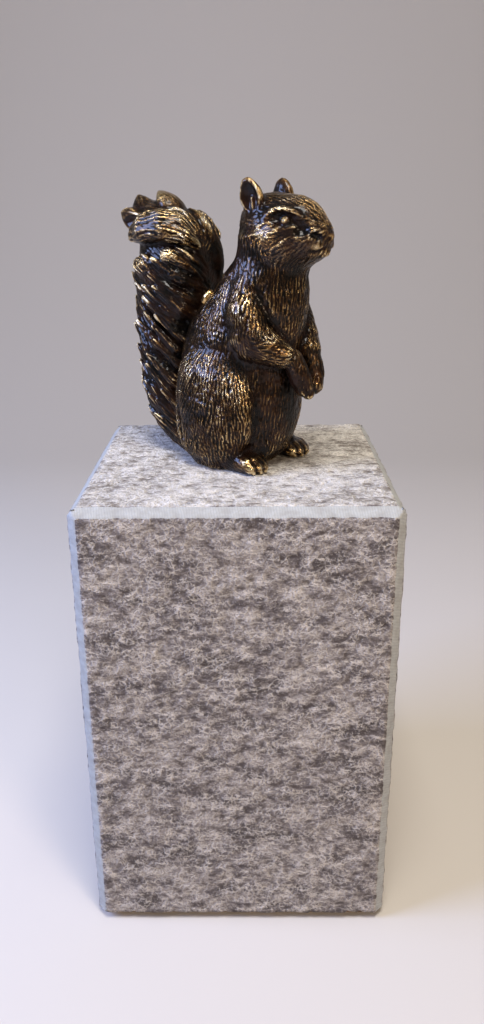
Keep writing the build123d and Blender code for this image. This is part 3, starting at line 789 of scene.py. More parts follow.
# spots on the body that are rubbed more, or less, some of them painted light and shade: place, radius in mm,
# strength
BODY_RUB_AND_LIGHT_SPOTS = [
    # the brow is rubbed; then painted shade darkening the eye socket, and a painted highlight on the eyeball
    (29.0, 9.4, 81.4, 2.0, 0.7), (28.8, 9.2, 77.8, 3.6, -1.8), (28.8, 9.4, 77.6, 1.3, 2.4),
    (23.0, 9.8, 79.6, 2.5, -0.9), (34.5, 2.5, 79.0, 4.5, 0.7), (24.0, 3.0, 84.0, 9.0, 0.9),
    # the first spot is painted shade darkening the nostril
    (40.0, 1.6, 72.8, 1.8, -1.2), (20.5, 10.6, 74.5, 3.0, 0.8), (24.6, 10.6, 72.8, 3.0, 0.6),
    # the first two spots are painted shade darkening the hollows before the eye and between nose and lip
    (34.0, 6.0, 75.0, 3.0, -0.6), (37.5, 4.0, 73.0, 1.6, -1.5), (36.6, 3.2, 76.4, 2.2, 0.6),
    # the last spot here and the first two on the next line are painted shade darkening the lids round the eye
    (36.4, 5.2, 70.4, 1.8, 0.4), (16.5, 9.0, 86.0, 6.0, -2.4), (32.4, 6.6, 78.6, 2.4, -2.0),
    (21.8, 9.6, 78.2, 2.0, -2.0), (29.4, 9.0, 75.2, 2.4, -1.4), (21.5, 14.5, 52.0, 3.0, 0.6),
    (26.0, 13.0, 44.0, 3.0, 0.9), (30.0, 8.6, 40.0, 2.4, 0.5), (31.4, 8.0, 35.6, 2.4, 0.9),
    (20.0, 15.0, 39.0, 5.0, -0.9), (31.5, 5.0, 30.0, 4.0, -1.9), (34.4, 0.0, 29.0, 1.4, 1.8),
    (34.0, 0.2, 34.0, 1.2, 1.6), (21.0, 12.0, 4.6, 4.5, 0.1), (17.0, 16.0, 26.0, 8.0, 1.0),
    (2.0, 20.0, 30.0, 6.0, 0.6), (25.0, 3.0, 55.0, 10.0, 0.1), (24.0, 3.0, 24.0, 12.0, -0.6),
    (13.0, 8.0, 68.0, 6.0, -1.2), (7.0, 9.0, 63.0, 6.0, -0.8), (24.0, 9.0, 75.0, 6.0, 0.8),
    (16.0, 15.0, 6.0, 4.0, -0.6), (8.0, 14.0, 54.0, 9.0, 0.3),
]
# how much more patina stays on nose, eyes and paws
BARE_COVERED = 0.4
comb(body_sculpt, points, flow, depth, reach, BODY_RUB_AND_LIGHT_SPOTS, BARE_COVERED * (kinds == BARE))
print("kinds of clay:", np.bincount(kinds))

# %% [markdown]
# ## Tail
#
# The tail is a second casting. Under its fur lies the same stack of ovals as in the drawing, and round
# it grow locks: clumps that start near the front edge, sweep back round the tail and rise. Each lock
# is a limb of clay through four points, from a root under the stack's skin to a tip that stands a
# little proud, so that the rear edge turns jagged. Every second row is shifted, and a fixed seed
# varies height, length and thickness, as a hand would.

# %% Sizes of the tail and its locks
TAIL_SIZE = (84.0, 28.6, 26.0)
TAIL_X = -20.99
TAIL_BLOCK = ((-46, -19, -1.8), (2, 19, 92))
# height, middle forward of TAIL_X, length and width, as shares of the tail's sizes
TAIL_SHARES = [
    (-0.030, 0.31, 0.42, 0.46), (0.000, 0.30, 0.46, 0.50), (0.045, 0.25, 0.56, 0.60),
    (0.120, 0.10, 0.71, 0.72), (0.260, 0.01, 0.79, 0.82), (0.430, -0.01, 0.84, 0.88),
    (0.590, 0.05, 0.97, 0.96), (0.730, 0.03, 0.98, 1.00), (0.850, -0.03, 0.90, 0.96),
    (0.920, -0.09, 0.76, 0.80), (0.960, -0.13, 0.52, 0.56), (0.985, -0.15, 0.22, 0.26),
]
LOCK_ROWS, LOCKS_PER_SIDE, LOCK_SEED = 13, 5, 7
UNDER_FUR = 1.3
# the lowest row and the spread of the rows, and how much a low and a high lock rise, as shares of the height
ROW_START, ROW_SPREAD = 0.01, 0.66
LOW_RISE, LESS_RISE, RISE_CURVE = 0.155, 0.05, 1.2
# directions of the tips round the tail in degrees: the first, the step, every second row's shift, the sweep
FIRST_TIP, TIP_STEP, TIP_SHIFT, LOCK_SWEEP = 84, 24, 12, 56
# radius of a lock, its taper from root to tip, and the way along it with how far it stands out there
LOCK_RADIUS, LOCK_TAPER, TIP_RADIUS, LOCK_FILLET = 1.75, (0.8, 1.1, 0.8), 0.55, 1.0
LOCK_WAYS = ((0.0, -1.8), (0.35, -0.8), (0.7, 0.0))
# how far a tip stands out in mm, and the degrees round the tail that make it one more
TIP_PROUD, DEGREES_PER_MM = 1.0, 220
# what chance changes: share of the height, direction, sweep, radius and how far the tip stands out
CHANCES = (0.012, 5, 6, 0.16, 0.7)
tail_fine = smooth_rows(TAIL_SHARES)


def on_tail(share, direction, proud=0.0):
    """A place at that share of the tail's height, in that direction round it, proud of its skin."""
    forward, long, wide = (np.interp(share, tail_fine[:, 0], tail_fine[:, column]) for column in (1, 2, 3))
    height, length, width = TAIL_SIZE
    turn = radians(direction)
    return (TAIL_X + length * forward + (length * long / 2 + proud) * cos(turn),
            (width * wide / 2 + proud) * sin(turn), height * share)


# %% Model the tail and its rows of locks
height, length, width = TAIL_SIZE
tail = Clay(*TAIL_BLOCK, CLAY_STEP)
tail.add(stack([
    (height * up, TAIL_X + length * forward, 0, length * long / 2 - UNDER_FUR, width * wide / 2 - UNDER_FUR)
    for up, forward, long, wide in TAIL_SHARES], 2), SEAT_FILLET, TRUNK)
chance = np.random.default_rng(LOCK_SEED)
spines = []


def lock(points, radii, soft, kind):
    """Add one lock of fur through points, and remember where it runs."""
    tail.add(limb(points, radii), soft, kind)
    spines.append(np.array(points))


for row in range(LOCK_ROWS):
    upper = row / (LOCK_ROWS - 1)
    for side in SIDES:
        for place in range(LOCKS_PER_SIDE):
            jitter = chance.normal(0, 1, 4)
            share = ROW_START + ROW_SPREAD * upper + CHANCES[0] * jitter[0]
            tip = FIRST_TIP + TIP_STEP * place + TIP_SHIFT * (row % 2) + CHANCES[1] * jitter[1]
            sweep = LOCK_SWEEP + CHANCES[2] * jitter[2]
            rise = LOW_RISE - LESS_RISE * upper
            thick = LOCK_RADIUS * (1 + CHANCES[3] * jitter[3])
            tip_proud = TIP_PROUD + tip / DEGREES_PER_MM + CHANCES[4] * jitter[3]
            points = [on_tail(share + rise * way ** RISE_CURVE, side * (tip - sweep * (1 - way)), proud)
                      for way, proud in (*LOCK_WAYS, (1.0, tip_proud))]
            lock(points, (*(thick * part for part in LOCK_TAPER), TIP_RADIUS), LOCK_FILLET, HAUNCH)
print("locks:", len(spines))

# %% [markdown]
# The upper part is freer. A broad band of hair wraps the tail below the top, with a deep shadow under
# it, and two rounded tufts come out of that shadow. Behind the band stand two lobes, a horn that
# points back and leaves towards the front. They are listed one by one, for the right side of the
# animal, and the left side gets the band and the tufts as a mirror image a little further back.

# %% Places of the locks at the top
# how much further back the left side's locks lie in mm
LEFT_SETBACK = 1.5
# places of each lock in mm, its radii, and how softly it joins
TUFTS = [
    # the band, in three strands
    ([(-8.8, -3.2, 69.4), (-10.8, -8.4, 72.6), (-16.5, -11.8, 74.2), (-23.5, -12.6, 73.4),
      (-31.0, -9.6, 71.9)],
     (1.0, 2.8, 3.2, 3.1, 1.9), 1.6),
    ([(-10.4, -3.8, 73.4), (-12.6, -7.8, 76.2), (-17.6, -10.8, 77.0), (-24.2, -11.8, 76.0),
      (-30.6, -9.8, 74.0)],
     (1.0, 2.4, 2.9, 2.6, 1.6), 1.8),
    ([(-13.6, -7.6, 78.6), (-18.0, -9.8, 79.2), (-23.0, -10.9, 78.2), (-28.0, -10.2, 76.4)],
     (0.7, 1.3, 1.5, 1.0), 1.4),
    # rounded tufts that come out of the shadow
    ([(-14.4, -11.8, 66.4), (-12.6, -10.8, 65.6), (-10.4, -8.8, 63.8), (-8.6, -6.2, 61.6),
      (-8.2, -2.6, 58.8)],
     (2.4, 2.1, 1.6, 1.1, 0.6), 2.0),
    ([(-26.6, -11.2, 63.2), (-23.2, -12.6, 63.1), (-20.2, -12.2, 62.1), (-16.4, -10.8, 59.6),
      (-13.0, -7.6, 56.0)],
     (2.4, 2.5, 1.9, 1.2, 0.6), 2.0),
    # thin strands between and below them
    ([(-12.6, -9.4, 68.6), (-10.8, -8.4, 67.4), (-9.0, -6.2, 65.4), (-8.6, -3.0, 62.8)],
     (0.5, 1.0, 1.0, 0.5), 1.2),
    ([(-16.4, -12.0, 62.8), (-14.0, -11.2, 61.2), (-10.9, -9.2, 58.8), (-9.6, -5.4, 55.6)],
     (0.5, 1.1, 1.1, 0.5), 1.2),
    ([(-30.6, -8.2, 59.8), (-25.6, -10.8, 58.2), (-20.4, -11.4, 55.0), (-15.6, -9.6, 51.0)],
     (0.8, 1.4, 1.3, 0.5), 1.2),
]
SHADOW = [(-32.5, -8.6, 69.0), (-25.0, -13.0, 68.6), (-18.6, -13.6, 69.0), (-13.0, -11.4, 70.0),
          (-8.8, -8.2, 69.2)]
SHADOW_RADIUS, SHADOW_SOFT = 1.9, 0.7
CREST_HEART = ([(-26.0, -2.0, 77.0)], (5.4, 6.8, 9.0), 1.5, EAR, (0, -70, 0))
LEAF_FILLET, RIM_FILLET = 0.9, 0.8
# leaves of the crest: middle, half width, half thickness and half length in mm, lean forward in degrees
CREST = [
    ((-31.6, -3.0, 79.2), (4.6, 4.0, 6.6), -26),
    ((-22.2, 0.0, 81.2), (3.1, 5.0, 7.9), -50),
    ((-32.4, -7.4, 77.0), (3.8, 2.4, 6.9), -69),
    ((-14.0, 5.0, 75.2), (3.0, 2.2, 7.6), -43),
    ((-9.9, 7.0, 65.2), (3.0, 3.0, 10.0), -6),
]
# raised rims of the horn and the foremost lobe: places in mm and radii
RIMS = [
    ([(-27.5, -8.8, 78.4), (-32.4, -8.2, 79.5), (-36.0, -7.2, 80.0), (-38.4, -6.4, 79.6)],
     (0.6, 0.8, 0.7, 0.4)),
    ([(-18.6, -7.2, 79.8), (-15.6, -5.8, 80.4), (-13.4, -4.4, 79.6), (-12.0, -3.6, 77.6)],
     (0.5, 0.7, 0.6, 0.4)),
]
HORN_HOLLOW = ([(-33.4, -9.9, 76.4)], (4.4, 1.5, 2.0), 0.6, None, (0, -20, 14))

# %% Model the top of the tail
for side, back in ((1, 0.0), (-1, LEFT_SETBACK)):
    tail.carve(limb([(px - back, side * py, pz) for px, py, pz in SHADOW], SHADOW_RADIUS), SHADOW_SOFT)
    for places, radii, soft in TUFTS:
        lock([(px - back, side * py, pz - back / 2) for px, py, pz in places], radii, soft, ARM)
shape(tail, [CREST_HEART])
for place, radii, lean in CREST:
    tail.add(leaf(place, radii, (0, lean, 0)), LEAF_FILLET, EAR)
    reach = np.array([sin(radians(lean)), 0, cos(radians(lean))]) * radii[2]
    spines.append(np.array([place - reach, place + reach]))
shape(tail, [HORN_HOLLOW])
for places, radii in RIMS:
    lock(places, radii, RIM_FILLET, EAR)
tail.field = np.maximum(tail.field, -tail.axes[2][None, None, :])
tail_points, tail_faces = tail.skin()
print("tail:", len(tail_points), "points,", 2 * len(tail_faces), "triangles")
tail_sculpt = mesh_object("tail_sculpt", placed(tail_points), tail_faces)

# %% [markdown]
# On the tail the fur runs along the locks, so each point takes the direction of the nearest lock.

# %% Comb the tail
steps = [(a + (b - a) * t, b - a) for spine in spines for a, b in zip(spine, spine[1:]) for t in (0.25, 0.75)]
tree_of_locks = kdtree.KDTree(len(steps))
for index, (place, run) in enumerate(steps):
    tree_of_locks.insert(place, index)
tree_of_locks.balance()
nearest = [tree_of_locks.find(point)[1] for point in tail_points]
tail_flow = np.array([run for _, run in steps])[nearest]
tail_kinds = tail.kind_at(tail_points)
TAIL_STROKES = {0: (0.30, 4.5), TRUNK: (0.30, 4.5), HAUNCH: (0.34, 4.5), ARM: (0.34, 4.0), EAR: (0.09, 3.0)}
tail_depth, tail_reach = stroke_sizes(tail_kinds, TAIL_STROKES)
# spots on the tail that are rubbed more, or less, as on the body, some of them painted light and shade
TAIL_RUB_AND_LIGHT_SPOTS = [
    (-14.8, 14.4, 67.6, 2.4, 1.2), (-26.0, 14.4, 64.4, 3.0, 1.3), (-25.0, 12.0, 78.0, 4.0, 0.7),
    (-17.0, 11.0, 79.8, 3.0, 0.7), (-25.0, 8.0, 32.0, 16.0, -1.0), (-12.0, 10.0, 42.0, 14.0, -1.4),
    # the last two spots are painted light on the upward crest
    (-22.0, 8.0, 10.0, 12.0, -0.6), (-25.0, 2.0, 84.0, 8.0, 1.3), (-16.0, 4.0, 78.0, 3.0, 0.8),
    # painted shade between tail and back, then painted shadow under the band
    (-8.0, 6.0, 61.5, 5.0, -2.4), (-24.0, 13.0, 69.5, 4.0, -1.2), (-14.0, 10.0, 56.5, 6.0, -1.6),
    # the first spot is painted light on a leaf of the crest
    (-12.0, 4.0, 75.0, 5.0, 1.6), (-20.0, 12.0, 73.0, 5.0, -0.9), (-36.0, 7.0, 80.0, 1.8, 0.8),
    # painted shade darkening the hollow of the horn
    (-34.0, 9.0, 76.4, 2.2, -1.2),
]
# how much more patina stays away from the band and the tufts
FUR_COVERED = 0.7
comb(tail_sculpt, tail_points, tail_flow, tail_depth, tail_reach, TAIL_RUB_AND_LIGHT_SPOTS,
     FUR_COVERED * (tail_kinds != ARM))
print("kinds of clay on the tail:", np.bincount(tail_kinds))

# %% [markdown]
# ## Strokes of the tool
#
# The fur was drawn into the clay stroke by stroke, thousands of times the same short movement along
# the direction of the hair. That is work for Geometry Nodes. The tree scatters points over the clay,
# lays a short line on each along the stored direction, presses the lines onto the surface, and then
# raises the clay near every line into a ridge and lowers it between them. Because the clay itself
# moves, the strokes catch the light and show in the outline, as they do on the casting.
#
# Every tree here begins and ends in the same way. It takes a geometry, a few named inputs and a
# material, and it makes its instances real before it hands them out.


# %% Begin, end and run a tree
def blank_tree(name, inputs):
    """A new Geometry Nodes tree with these named inputs, and the sockets that bring them in."""
    tree = bpy.data.node_groups.new(name, "GeometryNodeTree")
    tree.is_modifier = True
    for label, kind in {"Geometry": "Geometry", **inputs, "Material": "Material"}.items():
        tree.interface.new_socket(label, in_out="INPUT", socket_type="NodeSocket" + kind)
    tree.interface.new_socket("Geometry", in_out="OUTPUT", socket_type="NodeSocketGeometry")
    return tree, add(tree, "NodeGroupInput").outputs


def finish_tree(tree, geometry, material):
    """End a tree: real geometry, with its material."""
    whole = add(tree, REALIZE, (geometry,))
    painted = add(tree, "GeometryNodeSetMaterial", {"Geometry": whole, "Material": material})
    add(tree, "NodeGroupOutput", (painted,))
    return tree


def grown(piece, tree, values):
    """Run a tree on a piece with these values of its inputs, and keep the result as a plain mesh."""
    modifier = piece.modifiers.new(tree.name, "NODES")
    modifier.node_group = tree
    for item in tree.interface.items_tree:
        if item.in_out == "INPUT" and item.name in values:
            modifier[item.identifier] = values[item.name]
    mesh = bpy.data.meshes.new_from_object(piece.evaluated_get(bpy.context.evaluated_depsgraph_get()))
    piece.modifiers.clear()
    piece.data = mesh
    mesh.shade_smooth()
    triangles = sum(len(face.vertices) - 2 for face in mesh.polygons)
    print(piece.name, len(mesh.vertices), "points,", triangles, "triangles")


# %% [markdown]
# Each stroke is a line of four points, one long, which is stretched to the length that is stored at
# its place. A ridge stands where the nearest line is close. Pressure is never even, so a slow noise
# makes the whole surface swell and lets the strokes fade here and there.
#
# The tree ends with a measurement: how far each point stands above its smoothed surroundings, once
# over a short distance and once over a long one. The patina will need that, and the long one also
# darkens wide recesses as painted shade.


# %% Build the tree for chased fur
# how often directions and depths are smoothed, so that they change gently between kinds of clay
SMOOTHED = (("flow", "FLOAT_VECTOR", 12), ("depth", "FLOAT", 6))
# strokes on each square of the spacing before close ones go, how far they stray and how lengths vary
STROKE_CROWD, STROKE_STRAY, STROKE_LENGTHS = 1.6, 0.16, (0.65, 1.25)
STROKE_POINTS = 4
# heights of groove and ridge, as shares of the depth
GROOVE, RIDGE = -0.45, 0.55
# slow noises: how often they repeat in a mm, their strength and what is added
SWELL, FADE = (0.17, 3.0, -1.5), (0.33, 1.6, 0.4)
# how often the surface is smoothed before the relief is measured from it; the broad relief is also painted
# shade
RELIEFS = (("fine", 5), ("broad_and_painted_shade", 70))


def chased_fur_tree():
    """Strokes along the stored direction, as ridges in the clay, and the relief they leave."""
    tree, given = blank_tree("chased_fur", {"Spacing": "Float", "Half Width": "Float", "Seed": "Int"})
    eased = given["Geometry"]
    for name, kind, times in SMOOTHED:
        soft = add(tree, BLUR, (add(tree, NAMED, (name,), data_type=kind), times), data_type=kind)
        eased = add(tree, STORE, {"Geometry": eased, "Name": name, "Value": soft}, data_type=kind)
    flow = add(tree, NAMED, ("flow",), data_type="FLOAT_VECTOR")
    depth = add(tree, NAMED, ("depth",), data_type="FLOAT")
    reach = add(tree, NAMED, ("reach",), data_type="FLOAT")

    # one line on each point of an even scatter
    area = add(tree, MATHS, (given["Spacing"], given["Spacing"]), operation="MULTIPLY")
    scatter = add(tree, SCATTER, {
        "Mesh": eased, "Distance Min": given["Spacing"], "Seed": given["Seed"],
        "Density Max": add(tree, MATHS, (STROKE_CROWD, area), operation="DIVIDE")},
        distribute_method="POISSON")
    stray = add(tree, RANDOM, {"Min": [-STROKE_STRAY] * 3, "Max": [STROKE_STRAY] * 3, "Seed": given["Seed"]},
                data_type="FLOAT_VECTOR")
    heading = add(tree, VECTORS, (flow, stray), operation="ADD")
    shortest, longest = STROKE_LENGTHS
    vary = add(tree, RANDOM, {"Min": shortest, "Max": longest, "Seed": given["Seed"]}, data_type="FLOAT")
    length = add(tree, MATHS, (reach, vary), operation="MULTIPLY")
    line = add(tree, "GeometryNodeMeshLine", {
        "Count": STROKE_POINTS, "Start Location": (0, 0, -0.5), "Offset": (0, 0, 1 / (STROKE_POINTS - 1))})
    laid = add(tree, INSTANCES, {
        "Points": scatter, "Instance": line, "Scale": add(tree, COMBINE, (1.0, 1.0, length)),
        "Rotation": add(tree, ALIGN, {"Vector": heading}, axis="Z")})
    onto = add(tree, PROXIMITY, (eased,), target_element="FACES")
    pressed = add(tree, MOVE, {"Geometry": add(tree, REALIZE, (laid,)), "Position": onto})

    # ridges near the lines, grooves between them
    away = add(tree, PROXIMITY, (pressed,), target_element="EDGES").outputs["Distance"]
    ridge = add(tree, RANGE, (away, given["Half Width"], 0.0, GROOVE, RIDGE), interpolation_type="SMOOTHSTEP")
    place, normal = add(tree, "GeometryNodeInputPosition"), add(tree, "GeometryNodeInputNormal")
    in_mm = add(tree, VECTORS, (place, 1 / MM), operation="SCALE")
    swell, fade = (
        add(tree, MATHS, (add(tree, NOISE, {"Vector": in_mm, "Scale": scale, "Detail": 1.0}), strength, more),
            operation="MULTIPLY_ADD")
        for scale, strength, more in (SWELL, FADE))
    height = add(tree, MATHS, (ridge, fade, swell), operation="MULTIPLY_ADD")
    height = add(tree, MATHS, (depth, height), operation="MULTIPLY")
    push = add(tree, VECTORS, (normal, height), operation="SCALE")
    clay = add(tree, MOVE, {"Geometry": eased, "Offset": push})

    # relief in mm over a short and over a long distance, the long one also painted shade in recesses
    for name, times in RELIEFS:
        around = add(tree, BLUR, (place, times), data_type="FLOAT_VECTOR")
        above = add(tree, VECTORS, (place, around), operation="SUBTRACT")
        above = add(tree, VECTORS, (above, normal), operation="DOT_PRODUCT")
        above = add(tree, MATHS, (above, 1 / MM), operation="MULTIPLY")
        clay = add(tree, STORE, {"Geometry": clay, "Name": name, "Value": above}, data_type="FLOAT")
    return finish_tree(tree, clay, given["Material"])


# %% [markdown]
# ## Bronze
#
# Fresh bronze is golden. The patina, made with heat and a sulphur salt, turns it dark brown, nearly
# black where it stays in the grooves, and a cloth then rubs it back to metal on the ridges. The
# material follows that history: the stored relief decides how much bare metal shows, cloudy noise
# makes it uneven, and a thin coat of wax lies over both. The broad relief also darkens wide recesses
# as painted shade, and some spots add a painted highlight and painted shade. Bare metal is smooth and
# fully metallic, the patina is a dark oxide that shines less.
#
# Inside each stroke of the tool there are finer ones. They are drawn as noise that is squeezed
# across the fur and stretched along it, cell by cell, because the direction turns from place to place.


# %% Patinated bronze
# size of the cells in mm, and how often hairs repeat across and along the fur, and from cell to cell
HAIR_CELL = 2.5
HAIR_FACTORS = (2.4, 0.45, 20.0)
# how often the noises repeat in a mm
CLOUDS, GRAIN = 0.16, 0.9
# bare metal: what is added, and the weights of fine and broad relief, rubbing, clouds and hairs; the broad
# relief also paints shade into recesses, and the rubbing spots carry painted light and shade
BARE_OFFSET, BARE_WEIGHTS = -1.25, (10.0, 0.8, 0.6, 1.5, 0.9)
BARE_FROM, BARE_FULL = -0.8, 2.2
# how much bare metal shows, from the deepest groove to the highest ridge, with the painted shade and light
# that ride on it
PATINA = [(0.00, "#0A0603"), (0.22, "#170F08"), (0.40, "#2C1D10"), (0.54, "#4F371F"), (0.67, "#84663E"),
          (0.82, "#C6A874"), (1.00, "#EBD6A9")]
# redder clouds: colour, strength and offset, and how much less of them is on bare metal than elsewhere
REDDER, REDDER_CLOUDS, REDDER_SHARE = "#3A1D0C", (3.2, -1.35), (-0.6, 0.7)
# roughness of the patina, and what places that nobody rubs, grain and bare metal add to it
ROUGHNESS, ROUGH_COVERED, ROUGH_GRAIN, ROUGH_BARE = 0.22, -0.16, 0.18, -0.10
# what bare metal adds to metallic, and the patina's own
METALLIC = (0.10, 0.90)
HAIR_DEPTH = 0.22


def bronze_material():
    """Cast bronze with a dark brown patina that is rubbed back to metal on the ridges."""
    material, tree = blank_material("patinated_bronze")
    where = add(tree, COORDINATES).outputs["Object"]
    in_mm = add(tree, VECTORS, (where, 1 / MM), operation="SCALE")
    clouds = add(tree, NOISE, {"Vector": in_mm, "Scale": CLOUDS, "Detail": 3.0})
    grain = add(tree, NOISE, {"Vector": in_mm, "Scale": GRAIN, "Detail": 2.0})

    # fine hairs in cells: place in the cell across and along the fur, and a number for each cell
    flow = add(tree, ATTRIBUTE, attribute_name="flow").outputs["Vector"]
    normal = add(tree, "ShaderNodeNewGeometry").outputs["Normal"]
    across = add(tree, VECTORS, (flow, normal), operation="CROSS_PRODUCT")
    cells = add(tree, "ShaderNodeTexVoronoi", {"Vector": in_mm, "Scale": 1 / HAIR_CELL}).outputs
    centre = add(tree, VECTORS, (cells["Position"], HAIR_CELL), operation="SCALE")
    local = add(tree, VECTORS, (in_mm, centre), operation="SUBTRACT")
    parts = []
    for values, operation, factor in zip(
            ((local, across), (local, flow), (cells["Color"],)), ("DOT_PRODUCT", "DOT_PRODUCT", "LENGTH"),
            HAIR_FACTORS):
        value = add(tree, VECTORS, values, operation=operation)
        parts.append(add(tree, MATHS, (value, factor), operation="MULTIPLY"))
    hairs = add(tree, NOISE, {"Vector": add(tree, COMBINE, parts), "Scale": 1.0, "Detail": 1.5})

    # bare metal: relief, rubbed places, clouds and hairs, with painted shade from the broad relief and
    # painted light and shade from some spots
    fine, broad_and_painted_shade, rub_and_painted_light = (
        add(tree, ATTRIBUTE, attribute_name=name).outputs["Fac"] for name in ("fine", "broad_and_painted_shade", "rub_and_painted_light"))
    relief = BARE_OFFSET
    for value, weight in zip((fine, broad_and_painted_shade, rub_and_painted_light, clouds, hairs), BARE_WEIGHTS):
        relief = add(tree, MATHS, (value, weight, relief), operation="MULTIPLY_ADD")
    # worn also carries painted shade in wide recesses and the painted light and shade of the spots
    worn = add(tree, RANGE, (relief, BARE_FROM, BARE_FULL))
    colour = add(tree, RAMP, (worn,), PATINA)

    # redder clouds in the patina, and a duller skin where nobody rubs
    redder = add(tree, MATHS, (clouds, *REDDER_CLOUDS), operation="MULTIPLY_ADD", use_clamp=True)
    covered = add(tree, MATHS, (worn, *REDDER_SHARE), operation="MULTIPLY_ADD")
    redder = add(tree, MATHS, (redder, covered), operation="MULTIPLY")
    colour = add(tree, MIX, (redder, colour, REDDER), data_type="RGBA")
    rough = add(tree, MATHS, (rub_and_painted_light, ROUGH_COVERED), operation="MULTIPLY", use_clamp=True)
    rough = add(tree, MATHS, (grain, ROUGH_GRAIN, rough), operation="MULTIPLY_ADD")
    rough = add(tree, MATHS, (worn, ROUGH_BARE, rough), operation="MULTIPLY_ADD")
    skin = add(tree, SURFACE, {
        "Base Color": colour, "Metallic": add(tree, MATHS, (worn, *METALLIC), operation="MULTIPLY_ADD"),
        "Roughness": add(tree, MATHS, (rough, ROUGHNESS), operation="ADD"),
        "Coat Weight": 0.36, "Coat Roughness": 0.14,
        "Normal": add(tree, BUMP, {"Height": hairs, "Distance": HAIR_DEPTH * MM})})
    add(tree, "ShaderNodeOutputMaterial", (skin,))
    return material


# %% Chase the fur and colour the bronze
bronze = bronze_material()
fur = chased_fur_tree()
# piece: the node it stands for, distance and half width of the strokes in mm, seed
FURRED = {body_sculpt: ("body_casting", 0.85, 0.56, 3), tail_sculpt: ("tail_casting", 1.15, 0.66, 5)}
for piece, (node, spacing, half_width, seed) in FURRED.items():
    grown(piece, fur, {
        "Spacing": spacing * MM, "Half Width": half_width * MM, "Seed": seed, "Material": bronze})
    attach(piece, "root")
    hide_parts(node)

# %% [markdown]
# The simpler materials that follow share one recipe: a noise in the material's own scale sets both
# the colour and a shallow bump, so that light and dark go with high and low.


# %% A recipe for mottled materials
def mottled(name, noise, stops, bump, surface):
    """A material of one noise, which goes through the colours of stops and makes bumps of that many mm."""
    material, tree = blank_material(name)
    where = add(tree, COORDINATES).outputs["Object"]
    pattern = add(tree, NOISE, {"Vector": where, **noise})
    skin = add(tree, SURFACE, {
        "Base Color": add(tree, RAMP, (pattern,), stops), **surface,
        "Normal": add(tree, BUMP, {"Height": pattern, "Distance": bump * MM})})
    add(tree, "ShaderNodeOutputMaterial", (skin,))
    return material


# %% [markdown]
# ## Bead of braze
#
# Where the tail touches the back, a bead of braze joins the two castings. It flowed and froze in
# small overlapping drops, and because it sticks out it is rubbed bright.

# %% Model the bead
BEAD_MIDDLE, BEAD_LEAN = (-2.0, -6.8, 53.6), 40.0
BEAD_LENGTH, BEAD_RADIUS, BEAD_DROPS = 6.0, 1.75, 5
BEAD_STEP, BEAD_MARGIN = 0.2, 6.0
# the drops' spacing as a share of the length, how much thinner the last are, how flat, how softly joined
DROP_SPACING, DROP_LOSS, DROP_FLATNESS, DROP_FILLET = 0.31, 0.22, 0.62, 0.35
middle = np.array(BEAD_MIDDLE)
bead = Clay(middle - BEAD_MARGIN, middle + BEAD_MARGIN, BEAD_STEP)
lean = radians(BEAD_LEAN)
for drop in np.linspace(-1, 1, BEAD_DROPS):
    radius = BEAD_RADIUS * (1.0 - DROP_LOSS * abs(drop))
    place = middle + DROP_SPACING * BEAD_LENGTH * drop * np.array([sin(lean), 0, cos(lean)])
    bead.add(ball(place, (radius, radius, radius * DROP_FLATNESS), (0, BEAD_LEAN, 0)), DROP_FILLET)
bead_points, bead_faces = bead.skin()
braze_bead = mesh_object("braze_bead", placed(bead_points), bead_faces)
braze_bead.data.shade_smooth()

# molten braze freezes smooth and golden, mottled a little darker and paler by noise
braze = mottled("braze", {"Scale": 0.9 / MM, "Detail": 3.0},
                [(0.30, "#6B4A28"), (0.46, "#C79A57"), (0.75, "#F0D29A")], 0.1,
                {"Metallic": 1.0, "Roughness": 0.24})
braze_bead.data.materials.append(braze)
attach(braze_bead, "root")
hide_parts("tail_braze_bead")

# %% [markdown]
# ## Stone
#
# The block was sawn, its faces were left rough and its upright and top edges were honed to narrow
# bevels. Geometry Nodes starts from a box made of small squares, pushes its corners in to the bevel,
# marks what lies on a bevel, and erodes the rest inwards, so that the block never grows beyond its
# size. Rough faces get a crust of shallow plates and pits. The bevels stay flat, with a ragged border
# where the crust breaks off along them.


# %% Build the tree for dressed stone
# plates and pits: how often they repeat in a mm, detail, where they start and are full, how deep they go
WEATHERING = ((0.16, 5.0, 0.40, 0.62, -0.6), (0.42, 1.0, 0.60, 0.72, 0.8))
WEATHER_START = 0.6
BED_STRETCH = (1.0, 1.0, 1.6)


